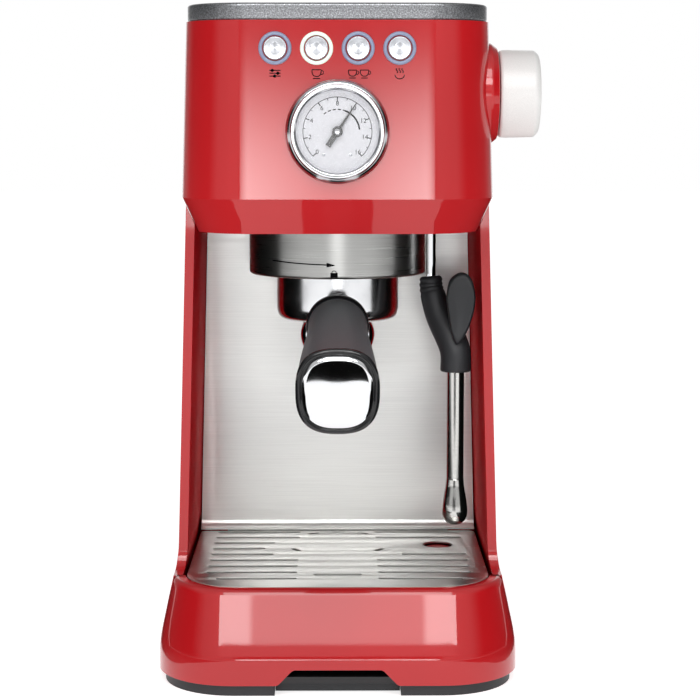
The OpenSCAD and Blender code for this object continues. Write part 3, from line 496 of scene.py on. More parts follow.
def make_materials(colours):
    """One material for each real finish, and one for each slot of the frame."""
    c = {key: tuple(getattr(colours, key)) for key in
         ("enamel", "lid", "steel", "chrome", "black", "rubber", "grip", "knob", "ring", "dial", "ink")}
    MATERIALS.update({
        "enamel": enamel(c["enamel"]),
        # Inner faces: a lighter copy of the enamel, which is painted light.
        "inside": matt_enamel(c["enamel"]),
        "lid": flake_lacquer(c["lid"]),
        "panel": brushed("brushed_stainless_panel", linear(0xEFEFED), "XY", 0.36, 0.002, 2600, 0.92),
        "grid": brushed("brushed_stainless_grid", c["steel"], "XZ", 0.3),
        "collar": brushed("brushed_stainless_collar", linear(0xBBBBB9), "XY", 0.29, 0.002),
        "sleeve": brushed("brushed_stainless_sleeve", c["steel"], "XY", 0.16, 0.002),
        "chrome": chrome_plate("chrome_plate", c["chrome"]),
        "bezel": chrome_plate("polished_bezel_steel", linear(0xC2C3C6), 0.14),
        "satin_chrome": chrome_plate("satin_chrome_plate", c["chrome"], 0.16),
        "spun": spun_aluminium(linear(0xC9CBD0)),
        "abs": moulded("moulded_abs_black", c["black"], 0.35),
        "gloss_abs": moulded("polished_abs_black", c["black"], 0.12, 1.5, 0.002),
        "rubber": moulded("moulded_rubber_black", c["rubber"], 0.5),
        "grip": moulded("soft_touch_tpe_grey", c["grip"], 0.46, 0.5, 0.006),
        "knob": moulded("moulded_asa_white", c["knob"], 0.34, 0.25, 0.0005),
        "ring": lit_ring("frosted_acrylic_lilac", c["ring"], 0.05),
        "ring_lit": lit_ring("frosted_acrylic_lit", linear(0xE4F0E0), 0.35),
        "dial": moulded("enamelled_dial_white", c["dial"], 0.35, 1.0, 0.001),
        "ink": moulded("screen_print_ink", c["ink"], 0.6, 0.4, 0.001,
                       Specular_IOR_Level=0.0),
        "glass": clear("mineral_glass", linear(0xFFFFFF), 0.03, 0.03, 0.0),
        "smoked": clear("smoked_san_plastic", linear(0x8FA0AA), 0.08, 1.0, 0.95),
        "brass": metal("machined_brass", linear(0xC9A65A), 0.3, 1.2, 0.01),
        "aluminium": metal("cast_aluminium", linear(0xB9BABC), 0.5, 0.8, 0.05),
        "zinc": metal("zinc_plated_steel", linear(0xB4B7BC), 0.35, 3.0, 0.005),
        "float": moulded("moulded_pp_red", linear(0xB8161E), 0.3),
        "pump": moulded("moulded_pbt_slate", linear(0x36414E), 0.45),
        "coil": moulded("moulded_pa_blue", linear(0x22325C), 0.4),
        "board": moulded("solder_mask_green", linear(0x1F5B3A), 0.3, 2.0, 0.01),
        "silicone": moulded("extruded_silicone_milky", linear(0xD5D8DA), 0.35),
    })


SLOT_FINISH = {
    "red_enamel": "enamel", "grey_lid": "lid", "brushed_steel": "panel", "chrome": "chrome",
    "black_plastic": "abs", "black_rubber": "rubber", "soft_grip": "grip",
    "smoked_plastic": "smoked", "button_cap": "spun", "button_ring": "ring",
    "dial_white": "dial", "clear_glass": "glass", "needle_black": "gloss_abs",
    "white_knob": "knob", "brass": "brass", "aluminium": "aluminium", "zinc_steel": "zinc",
    "float_red": "float", "pump_body": "pump", "coil_blue": "coil", "board_green": "board",
    "silicone": "silicone",
}
NODE_FINISH = {"drip_grid": "grid", "cup_plate": "grid", "filter_basket": "collar"}


def finish_of(node):
    """The finish of a frame node, from its slot in the record."""
    slots = {s["node"]: s["material_slot"] for s in frame["record"]["subparts"]}
    return NODE_FINISH.get(node) or SLOT_FINISH[slots[node]]


# ---------------------------------------------------------------- plan of the housing

CORNER = {"base": 38.0, "base_top": 30.0, "head": 28.0}
CORNER_STEPS = 12
LIP_Y = GRID_LO.y - 3.4
BAND_Z = Z_FOOT + 13.0
WING_HW = HW_HEAD + 5.3
GRID_OPENING = GRID_HI.x + 0.8
Y_COLUMN = -99.0
TANK_BAY = span("water_tank")[1].x + 1.0
HOUSING_NODES = [n for n in ("body_shell", "gland_plate") if n in frame["nodes"]]


def blend_curve(points, radius, steps=6):
    """A function of height through the given (height, value) corners, rounded."""
    line = soften([(z, v, 0) for z, v in points], radius, steps)

    def value(z):
        if z <= line[0][0]:
            return line[0][1]
        for a, b in zip(line, line[1:]):
            if a[0] <= z <= b[0]:
                t = (z - a[0]) / max(1e-9, b[0] - a[0])
                return a[1] + (b[1] - a[1]) * t
        return line[-1][1]
    return value


BASE_HW = blend_curve([(Z_FOOT, HW_BASE), (BAND_Z, HW_BASE), (Z_BASE + 4, WING_HW + 0.3),
                       (Z_CREASE, HW_HEAD)], 9)
BASE_Y = blend_curve([(Z_FOOT, Y_FRONT), (BAND_Z, Y_FRONT), (Z_BASE, LIP_Y)], 3)
BASE_R = blend_curve([(Z_FOOT, CORNER["base"]), (BAND_Z, CORNER["base"]),
                      (Z_BASE, CORNER["base_top"])], 3)
FOOT_BACK = blend_curve([(Z_FOOT, Y_FOOT_BACK), (BAND_Z, Y_FOOT_BACK), (Z_BASE, Y_BACK),
                         (Z_CREASE, Y_BACK)], 9)


def base_plan(z, inset=0.0):
    return (BASE_HW(z) - inset, BASE_Y(z) + inset, FOOT_BACK(z) - inset,
            BASE_R(z) - inset, CORNER["base"] - inset)


def head_plan(z, inset=0.0):
    """Half width, front, back and corner radii of the head at a height."""
    if z < Z_CREASE:
        t = (Z_CREASE - z) / (Z_CREASE - Z_HEAD)
        drop = 7.0 * t
        return (HW_HEAD - drop - inset, Y_HEAD + drop + inset, Y_BACK - inset,
                CORNER["head"] - inset, CORNER["base"] - inset)
    t = (z - Z_CREASE) / (Z_LID - Z_CREASE)
    return (HW_HEAD + (HW_LID - HW_HEAD) * t - inset, Y_HEAD + inset, Y_BACK - inset,
            CORNER["head"] - inset, CORNER["base"] - inset)


def plan_point(column, plan):
    """A point of the right half of a plan. A column is a segment's name and a place along it."""
    hw, y0, y1, rf, rb = plan
    segment, value = column
    if segment == "front":
        return value, y0
    if segment == "front_corner":
        return hw - rf + rf * math.sin(value), y0 + rf - rf * math.cos(value)
    if segment == "side":
        return hw, value
    if segment == "rear_corner":
        end = math.acos(max(-1, min(1, (TANK_BAY - hw + rb) / rb)))
        a = end * value if value <= 1 else end + (math.pi / 2 - end) * (value - 1)
        return hw - rb + rb * math.cos(a), y1 - rb + rb * math.sin(a)
    return value, y1


def wall(columns, rows, outer, inner):
    """A sheet with thickness: rows holds each column's heights, and outer and inner its plans."""
    verts, faces, n = [], [], len(rows[0])
    for plan in (outer, inner):
        for i, column in enumerate(columns):
            for z in rows[i]:
                x, y = plan_point(column, plan(z))
                verts.append(Vector((x, y, z)))
    half = len(columns) * n
    for i in range(len(columns) - 1):
        for j in range(n - 1):
            a = i * n + j
            faces.append((a, a + n, a + n + 1, a + 1))
            faces.append((a + half, a + half + 1, a + half + n + 1, a + half + n))
    edge = [(i * n, (i + 1) * n) for i in range(len(columns) - 1)]
    edge += [((i + 1) * n + n - 1, i * n + n - 1) for i in range(len(columns) - 1)]
    edge += [(j + 1, j) for j in range(n - 1)]
    last = (len(columns) - 1) * n
    if columns[-1][0] not in ("front", "rear") or abs(columns[-1][1]) > 1e-6:
        edge += [(last + j, last + j + 1) for j in range(n - 1)]
    if columns[0] == ("front", 0):
        edge = [e for e in edge if not (e[0] < n and e[1] < n)]
    for a, b in edge:
        faces.append((a, a + half, b + half, b))
    return verts, faces


def sheet_slots(columns, rows, sheet):
    """The finish of each face of a wall: 1 on its inner side, 0 elsewhere."""
    pairs = (len(columns) - 1) * (len(rows[0]) - 1)
    return [0, 1] * pairs + [0] * (len(sheet[1]) - 2 * pairs)


def corner_columns(name, count=CORNER_STEPS):
    return [(name, math.pi / 2 * (i + 1) / (count + 1)) for i in range(count)]


# ---------------------------------------------------------------- operators

class PieceOperator:
    """What every building operator shares."""
    bl_options = {"REGISTER", "UNDO"}

    def execute(self, context):
        self.make(context.scene.espresso_sizes)
        return {"FINISHED"}


class ESPRESSO_OT_finishes(bpy.types.Operator):
    """Makes the finishes and gives each frame node its own"""
    bl_idname = "espresso.finishes"
    bl_label = "Finishes"

    def execute(self, context):
        make_materials(context.scene.espresso_colours)
        for name, node in frame["nodes"].items():
            node.data.materials.clear()
            node.data.materials.append(MATERIALS[finish_of(name)])
            node.data.polygons.foreach_set("material_index", [0] * len(node.data.polygons))
        return {"FINISHED"}


class ESPRESSO_OT_tray_cover(PieceOperator, bpy.types.Operator):
    """Enamelled cover across the front of the base, with its finger arch"""
    bl_idname = "espresso.tray_cover"
    bl_label = "Tray cover"

    def make(self, sizes):
        t = sizes.wall / MM + 0.5
        arch_foot, arch_top, arch_h = 28.6, 21.5, 7.6
        columns = [("front", 0), ("front", 10), ("front", arch_top - 0.8), ("front", arch_top + 0.4),
                   ("front", arch_foot - 0.6), ("front", arch_foot + 0.6), ("front", 38), ("front", 48)]
        columns += corner_columns("front_corner")
        columns += [("side", Y_SEAM - 1.5), ("side", Y_SEAM)]
        low = {0: arch_h, 1: arch_h, 2: arch_h, 3: arch_h - 0.6, 4: 0.7}
        heights = [Z_FOOT, Z_FOOT + 9.5, BAND_Z - 1.6, BAND_Z - 0.8, BAND_Z, BAND_Z + 0.8,
                   BAND_Z + 1.6, BAND_Z + 6, 32, 38, 43, Z_BASE - 3.4, Z_BASE - 2.4, Z_BASE - 1.5,
                   Z_BASE - 0.8, Z_BASE - 0.3, Z_BASE]
        rows = [[max(z, Z_FOOT + low.get(i, 0)) for z in heights] for i in range(len(columns))]

        def outer(z):
            rise = max(0.0, (z - Z_BASE + 3.4) / 3.4)
            fall = 2.1 * (1 - math.sqrt(max(0.0, 1 - rise * rise)))
            hw, y0, y1, rf, rb = base_plan(z)
            return hw - fall * 0.6, y0 + fall, y1, rf, rb

        def inner(z):
            if z > Z_BASE - 2:
                return (GRID_OPENING, GRID_LO.y - 0.5, 0, CORNER["head"] + 0.5, 1)
            return base_plan(z, t)

        Shape().add(wall(columns, rows, outer, inner)).build(
            "tray_cover", MATERIALS["enamel"], "tray", "red_enamel", ["tray_front"],
            angle=35, bevel=sizes.rim / MM * 0.5, mirror=True)


class ESPRESSO_OT_housing(PieceOperator, bpy.types.Operator):
    """Enamelled side walls that flare into the wings of the base"""
    bl_idname = "espresso.housing"
    bl_label = "Housing"

    def make(self, sizes):
        t_column = sizes.column_wall / MM
        fillet = 9.0
        y_wing = Y_SEAM + 0.4
        columns = [("side", y_wing), ("side", y_wing + 1.5)]
        top = [Z_BASE, Z_BASE]
        for k in range(7):
            a = math.pi / 2 * k / 6
            columns.append(("side", Y_COLUMN - fillet + fillet * math.sin(a)))
            top.append(Z_BASE + fillet - fillet * math.cos(a))
        start = len(columns) - 1
        for y in (-95, -80, -40, 0, 40, 80, 105):
            columns.append(("side", y))
            top.append(Z_BASE + fillet)
        for k in range(9):
            columns.append(("rear_corner", k / 8))
            top.append(Z_BASE + fillet)
        stop = len(columns) - 1
        columns += [("rear_corner", 1 + k / 6) for k in range(1, 7)]
        columns += [("rear", 30), ("rear", 0)]
        top += [Z_BASE] * 8
        heights = [Z_FOOT, Z_FOOT + 9.5, BAND_Z - 1.6, BAND_Z - 0.8, BAND_Z, BAND_Z + 0.8,
                   BAND_Z + 1.6, BAND_Z + 6, 32, 38, 43, 46.5]
        rows = [heights + [top[i] - 1.2, top[i]] for i in range(len(columns))]

        def inner(z):
            hw, y0, y1, rf, rb = base_plan(z, t_column)
            if z < Z_CREASE:
                hw = max(hw, GRID_OPENING) if z < Z_BASE + 1 else hw
            return hw, y0, y1, rf, rb

        sheet = wall(columns, rows, base_plan, inner)
        shape = Shape().add(sheet, slot=sheet_slots(columns, rows, sheet))
        upper = columns[start:stop + 1]
        z0 = Z_BASE + fillet
        tall = [z0, z0 + 4, 70, 100, 140, 180, 215, Z_CREASE - 2, Z_CREASE]
        sheet = wall(upper, [tall] * len(upper), base_plan, inner)
        shape.add(sheet, slot=sheet_slots(upper, [tall], sheet))
        join_blocks(shape, z0, upper, (base_plan, inner))
        # The inner faces take the lighter copy of the enamel, which is painted light.
        shape.build("housing_sides", [MATERIALS["enamel"], MATERIALS["inside"]], "housing",
                    "red_enamel", HOUSING_NODES,
                    angle=35, bevel=sizes.rim / MM * 1.5, mirror=True)
        self.foot_bar()

    @staticmethod
    def foot_bar():
        """The foot's recessed bar behind the finger arch."""
        y0, y1 = Y_FRONT + 10.5, Y_FRONT + 14.5
        Shape().add(lofted([[(-29.8, y0, z), (29.8, y0, z), (29.8, y1, z), (-29.8, y1, z)]
                            for z in (0.2, Z_FOOT - 0.2)])).build(
            "foot_bar", MATERIALS["rubber"], "housing", "black_rubber", weighted=False)


def join_blocks(shape, z, columns, plans):
    """Takes away the strips that would lie inside the sheet where two walls meet at a height."""
    ring = set()
    for plan in plans:
        for column in columns:
            x, y = plan_point(column, plan(z))
            ring.add((round(x, 4), round(y, 4)))
    keep_faces, keep_slots = [], []
    for face, slot in zip(shape.faces, shape.slots):
        pts = [shape.verts[i] for i in face]
        flat = all(abs(p.z - z) < 1e-4 and (round(p.x, 4), round(p.y, 4)) in ring for p in pts)
        if not flat:
            keep_faces.append(face)
            keep_slots.append(slot)
    shape.faces, shape.slots = keep_faces, keep_slots


class ESPRESSO_OT_head(PieceOperator, bpy.types.Operator):
    """Enamelled head with its bevelled lower band"""
    bl_idname = "espresso.head"
    bl_label = "Head"

    def make(self, sizes):
        t = sizes.wall / MM

        def inner(z):
            return head_plan(z, t)

        front = [("front", x) for x in (0, 20, 40, 45)] + corner_columns("front_corner")
        side = [("side", y) for y in (-121, -110, Y_COLUMN - 0.3)]
        back = [("side", y) for y in (-90, -40, 20, 80, 110)]
        back += [("rear_corner", k / 8) for k in range(9)]
        lower = front + side
        shape = Shape()
        low = [Z_HEAD, Z_HEAD + 1.2, Z_HEAD + 6, Z_CREASE - 2, Z_CREASE]
        high = [Z_CREASE, Z_CREASE + 3, Z_CREASE + 20, 285, Z_LID - 2, Z_LID]
        shape.add(wall(lower, [low] * len(lower), head_plan, inner))
        shape.add(wall(lower + back, [high] * len(lower + back), head_plan, inner))
        join_blocks(shape, Z_CREASE, lower, (head_plan, inner))
        shape.build("head_housing", MATERIALS["enamel"], "housing", "red_enamel", ["head_shell"],
                    angle=16, bevel=sizes.rim / MM, mirror=True)


def full_plan(plan, steps=CORNER_STEPS):
    """A closed loop of points round a plan of plain corners."""
    hw, y0, y1, rf, rb = plan
    half = [(0, y0), (hw - rf, y0)]
    half += [(hw - rf + rf * math.sin(a), y0 + rf - rf * math.cos(a))
             for a in (math.pi / 2 * (k + 1) / steps for k in range(steps))]
    half += [(hw - rb + rb * math.cos(a), y1 - rb + rb * math.sin(a))
             for a in (math.pi / 2 * k / steps for k in range(steps + 1))]
    return half + [(0, y1)] + [(-x, y) for x, y in reversed(half[1:])]


def tray_of(plan, z0, z1, edge, recess=None, depth=0.0):
    """A flat lid with rounded edges and, if asked, a recess in its top."""
    hw, y0, y1, rf, rb = plan
    levels = [(0.9, z0), (0.3, z0 + 0.3), (0, z0 + 0.9), (0, z1 - edge)]
    levels += [(edge * (1 - math.cos(a)), z1 - edge * (1 - math.sin(a)))
               for a in (math.pi / 2 * k / 5 for k in range(1, 6))]
    if recess:
        levels += [(recess - 0.6, z1), (recess, z1 - 0.4), (recess + 0.1, z1 - depth)]
    loops = []
    for inset, z in levels:
        p = (hw - inset, y0 + inset, y1 - inset, max(0.3, rf - inset), max(0.3, rb - inset))
        loops.append([(x, y, z) for x, y in full_plan(p)])
    return lofted(loops)


class ESPRESSO_OT_lids(PieceOperator, bpy.types.Operator):
    """Flake-lacquered lid with its cup plate's recess, and the tank's lid"""
    bl_idname = "espresso.lids"
    bl_label = "Lids"

    def make(self, sizes):
        plan = (LID_HI.x, LID_LO.y, LID_HI.y, CORNER["head"], 2)
        Shape().add(tray_of(plan, LID_LO.z, LID_HI.z, 1.4, 10.0, 1.5)).build(
            "lid", MATERIALS["lid"], "housing", "grey_lid", ["top_cover"], angle=40)
        plan = (REAR_LID_HI.x, REAR_LID_LO.y, REAR_LID_HI.y - 5, 2, 26)
        z0 = LID_LO.z + 0.3
        shape = Shape().add(tray_of(plan, z0, REAR_LID_HI.z, 1.4))
        hinge = frame_joint("tank_lid_turn")
        for x in (-31.5, 26.5):
            ear = turned(soften([(0, 0), (3, 0), (3, 5), (0, 5)], 0.4), 32)
            shape.add(ear, facing((1, 0, 0), (x, hinge.y, hinge.z)))
            block = lofted([[(x + u, hinge.y + v, z) for u, v in
                             ((0.2, -2.9), (4.8, -2.9), (4.8, 2.9), (0.2, 2.9))]
                            for z in (hinge.z, z0 + 3)])
            shape.add(block)
        shape.build("tank_lid_shell", MATERIALS["lid"], "tank_lid_body", "grey_lid", ["tank_lid"],
                    angle=40)
        trim = tray_of((HW_LID - 0.15, Y_HEAD + 0.25, LID_HI.y, CORNER["head"], 2),
                       Z_LID - 0.9, Z_LID + 0.05, 0.3)
        Shape().add(trim).build("lid_seam", MATERIALS["satin_chrome"], "housing", "chrome", angle=40)


def frame_joint(name):
    """Where a hinge of the frame sits, in millimetres."""
    joint = next(j for j in frame["joints"] if j["name"] == name)
    return Vector(joint["pos_m"]) / MM


def plate_mesh(name, outline, holes, thickness, edge):
    """A flat plate in XY with holes and rolled edges; outlines are lists of (x, y)."""
    curve = bpy.data.curves.new(name, "CURVE")
    curve.dimensions = "2D"
    curve.fill_mode = "BOTH"
    curve.extrude = (thickness / 2 - edge) * MM
    curve.bevel_depth = edge * MM
    curve.bevel_resolution = 2
    curve.offset = -edge * MM
    for points in [outline, *holes]:
        spline = curve.splines.new("POLY")
        spline.points.add(len(points) - 1)
        for p, (x, y) in zip(spline.points, points):
            p.co = (x * MM, y * MM, 0, 1)
        spline.use_cyclic_u = True
    holder = bpy.data.objects.new(name, curve)
    mesh = bpy.data.meshes.new_from_object(holder)
    bpy.data.objects.remove(holder)
    return [Vector(v.co) / MM for v in mesh.vertices], [tuple(p.vertices) for p in mesh.polygons]


def slot_outline(x0, x1, y, w, steps=6):
    """A slot with round ends along X."""
    r = w / 2
    right = [(x1 - r + r * math.cos(a), y + r * math.sin(a))
             for a in (math.pi * (k / steps - 0.5) for k in range(steps + 1))]
    left = [(x0 + r - r * math.cos(a), y - r * math.sin(a))
            for a in (math.pi * (k / steps - 0.5) for k in range(steps + 1))]
    return right + left


def circle_outline(x, y, r, steps=40):
    return [(x + r * math.cos(2 * math.pi * k / steps), y + r * math.sin(2 * math.pi * k / steps))
            for k in range(steps)]


def arc_slot(centre, radius, start, end, w, steps=10):
    """A slot that follows an arc, with round ends."""
    cx, cy = centre
    out = []
    for r, order in ((radius + w / 2, range(steps + 1)), (radius - w / 2, range(steps, -1, -1))):
        for k in order:
            a = math.radians(start + (end - start) * k / steps)
            out.append((cx + r * math.cos(a), cy + r * math.sin(a)))
    return out


class ESPRESSO_OT_drip_grid(PieceOperator, bpy.types.Operator):
    """Brushed steel grid with rolled drain slots and a skirt"""
    bl_idname = "espresso.drip_grid"
    bl_label = "Drip grid"

    def make(self, sizes):
        edge = sizes.slot_edge / MM
        w, pitch = 3.2, 13.3
        left, right = GRID_LO.x + 9.2, GRID_HI.x - 8
        y0 = GRID_HI.y - 4
        near, mid = 20.0, 33.0
        holes = []
        for i in (0, 1, 5, 6, 7):
            y = y0 - pitch * i
            holes += [slot_outline(left, -near, y, w), slot_outline(near, right, y, w)]
        for i, x in ((2, mid), (3, mid + 4.8), (4, mid)):
            holes.append(slot_outline(left, -x, y0 - pitch * i, w))
        holes.append(slot_outline(mid, right, y0 - pitch * 4, w))
        holes += [slot_outline(left + 5.5, -near, y0 - pitch * 8, w),
                  slot_outline(near, right - 5, y0 - pitch * 8, w),
                  slot_outline(-12, 12, y0 - pitch * 7.4, w)]
        cup = (0, GROUP.y + 12.3)
        holes += [arc_slot(cup, 27, a - 7, a + 7, 2.6) for a in (61, 90, 119, 217, 323)]
        hole = ((FLOAT_LO.x + FLOAT_HI.x) / 2, (FLOAT_LO.y + FLOAT_HI.y) / 2)
        holes.append(circle_outline(*hole, 7.6))
        plan = (GRID_HI.x, GRID_LO.y, GRID_HI.y, CORNER["head"], 4)
        thick = 1.2
        plate = plate_mesh("grid_plate", full_plan(plan), holes, thick, edge)
        shape = Shape().add(plate, Matrix.Translation((0, 0, GRID_HI.z - thick / 2)))

        def ring(inset, z):
            hw, a, b, rf, rb = plan
            p = (hw - inset, a + inset, b - inset, rf - inset, rb - inset)
            return [(x, y, z) for x, y in full_plan(p)]

        skirt = [ring(0.3, GRID_HI.z - 0.8), ring(0.02, GRID_HI.z - 1.3), ring(0.02, GRID_LO.z),
                 ring(1.1, GRID_LO.z), ring(1.1, GRID_HI.z - 1.1)]
        shape.add(lofted(skirt, capped=False))
        shape.build("drip_grid_plate", MATERIALS["grid"], "grid", "brushed_steel", ["drip_grid"],
                    angle=25, weighted=False)


def marks_to_shape(shape, polygons, height, transform, slot=0):
    """Adds flat printed marks, given as outlines in XY, as thin raised plates."""
    for points in polygons:
        n = len(points)
        verts = [Vector((x, y, z)) for z in (0, height) for x, y in points]
        faces = [tuple(range(n, 2 * n)), tuple(reversed(range(n)))]
        faces += [(k, (k + 1) % n, (k + 1) % n + n, k + n) for k in range(n)]
        shape.add((verts, faces), transform, slot)


def stroke(points, w):
    """An outline that follows a line of points at a width."""
    pts = [Vector(p).to_2d() for p in points]
    left, right = [], []
    for i, p in enumerate(pts):
        d = (pts[min(i + 1, len(pts) - 1)] - pts[max(i - 1, 0)]).normalized()
        side = Vector((-d.y, d.x)) * w / 2
        left.append(tuple(p + side))
        right.append(tuple(p - side))
    return left + right[::-1]


def arc_points(cx, cy, r, start, end, steps=24):
    return [(cx + r * math.cos(math.radians(start + (end - start) * k / steps)),
             cy + r * math.sin(math.radians(start + (end - start) * k / steps)))
            for k in range(steps + 1)]


def number_mesh(text, size, at):
    """A number as flat outlines from the built-in font, centred at a place."""
    curve = bpy.data.curves.new("number", "FONT")
    curve.body = text
    curve.size = size * MM
    curve.align_x = "CENTER"
    curve.align_y = "CENTER"
    curve.resolution_u = 4
    curve.extrude = 0.03 * MM
    holder = bpy.data.objects.new("number", curve)
    mesh = bpy.data.meshes.new_from_object(holder)
    bpy.data.objects.remove(holder)
    shift = Vector((*at, 0.03))
    return [Vector(v.co) / MM + shift for v in mesh.vertices], [tuple(p.vertices) for p in mesh.polygons]


def front_frame(x, y, z):
    """Local X to the right, local Y up and local Z towards the user."""
    turn = Matrix(((1, 0, 0), (0, 0, -1), (0, 1, 0))).to_4x4()
    return Matrix.Translation((x, y, z)) @ turn


class ESPRESSO_OT_gauge(PieceOperator, bpy.types.Operator):
    """Pressure gauge: stepped chrome bezel, printed dial, needle and glass"""
    bl_idname = "espresso.gauge"
    bl_label = "Gauge"

    def make(self, sizes):
        r = (BEZEL_HI.z - BEZEL_LO.z) / 2
        out = (0, -1, 0)
        bezel = soften([(r - 5.2, 0.7), (r - 5.0, 4.3), (r - 4.2, 5.1), (r - 2.6, 5.2), (r - 2.2, 4.5),
                        (r - 1.7, 4.4), (r - 0.7, 3.4), (r - 0.5, 2.4), (r, 1.9), (r, 0.1),
                        (r - 2.5, 0.1)], 0.35, 3)
        lathe_piece("gauge_rim", bezel, out, GAUGE, MATERIALS["bezel"], "housing", "chrome",
                    ["gauge_bezel"], 128)
        dial_r = r - 4.9
        face = Vector((0, GAUGE.y - 0.75, GAUGE.z))
        lathe_piece("gauge_face", [(0, 0.7), (dial_r, 0.7), (dial_r, 0), (0, 0)], out,
                    (0, GAUGE.y - 0.05, GAUGE.z), MATERIALS["dial"], "housing", "dial_white",
                    ["gauge_dial"])
        flank = soften([(dial_r - 0.9, 0.75), (dial_r - 0.1, 3.9), (dial_r + 0.2, 3.9)], 0.2)
        lathe_piece("gauge_rehaut", flank, out, GAUGE, MATERIALS["dial"], "housing", "dial_white")
        self.marks(face)
        self.needle(face)
        pane = soften([(0, 3.4), (dial_r, 3.4), (dial_r, 3.9), (0, 4.2)], 0.1)
        lathe_piece("gauge_window", pane, out, GAUGE, MATERIALS["glass"], "housing", "clear_glass",
                    ["gauge_glass"])

    @staticmethod
    def bar(value):
        """The angle of a pressure on the scale, anticlockwise from the right, in degrees."""
        return 225 - value * 270 / 16

    def marks(self, face):
        scale_r = 15.9
        shapes = [stroke(arc_points(0, 0, scale_r, self.bar(0), self.bar(16), 60), 0.28)]
        for value in range(17):
            a = math.radians(self.bar(value))
            inner = scale_r - (1.9 if value % 2 == 0 else 1.0)
            shapes.append(stroke([(inner * math.cos(a), inner * math.sin(a)),
                                  (scale_r * math.cos(a), scale_r * math.sin(a))],
                                 0.42 if value % 2 == 0 else 0.28))
        band_r = 10.2
        shapes.append(stroke(arc_points(0, 0, band_r, self.bar(9.2), self.bar(13), 20), 0.75))
        for k in range(5):
            start = 128 - 13 * k
            shapes.append(stroke(arc_points(0, 0, band_r, start, start - 8, 5), 0.5))
        shape = Shape()
        marks_to_shape(shape, shapes, 0.05, front_frame(*face))
        for value in range(0, 17, 2):
            a = math.radians(self.bar(value))
            rr = 12.9 if value not in (0, 16) else 13.2
            shape.add(number_mesh(str(value), 3.0, (rr * math.cos(a), rr * math.sin(a))), front_frame(*face))
        for s in (-1, 1):
            shape.add(turned([(0.7, 0), (0.7, 0.12), (0.5, 0.2), (0, 0.2)], 20),
                      front_frame(*face) @ Matrix.Translation((s * 6.2, -10.6, 0)), 1)
        shape.build("gauge_marks", [MATERIALS["ink"], MATERIALS["zinc"]], "housing", "needle_black",
                    weighted=False)

    def needle(self, face):
        angle = math.radians(self.bar(10) - 90)
        turn = front_frame(face.x, face.y - 1.0, face.z) @ Matrix.Rotation(angle, 4, "Z")
        shape = Shape()
        blade = [(-0.75, 0), (-0.22, 15.3), (0.22, 15.3), (0.75, 0)]
        tail = [(-1.25, -8), (-1.25, -3), (-0.8, 0), (0.8, 0), (1.25, -3), (1.25, -8)]
        marks_to_shape(shape, [blade, tail], 0.35, turn)
        shape.add(turned([(0, 0.9), (2.3, 0.9), (2.45, 0.7), (2.45, 0)], 40), turn, 0)
        shape.add(turned([(0, 1.5), (1.1, 1.4), (1.35, 1.1), (1.35, 0.9)], 32), turn, 1)
        shape.build("gauge_pointer", [MATERIALS["gloss_abs"], MATERIALS["chrome"]], "needle",
                    "needle_black", ["gauge_needle"], weighted=False)


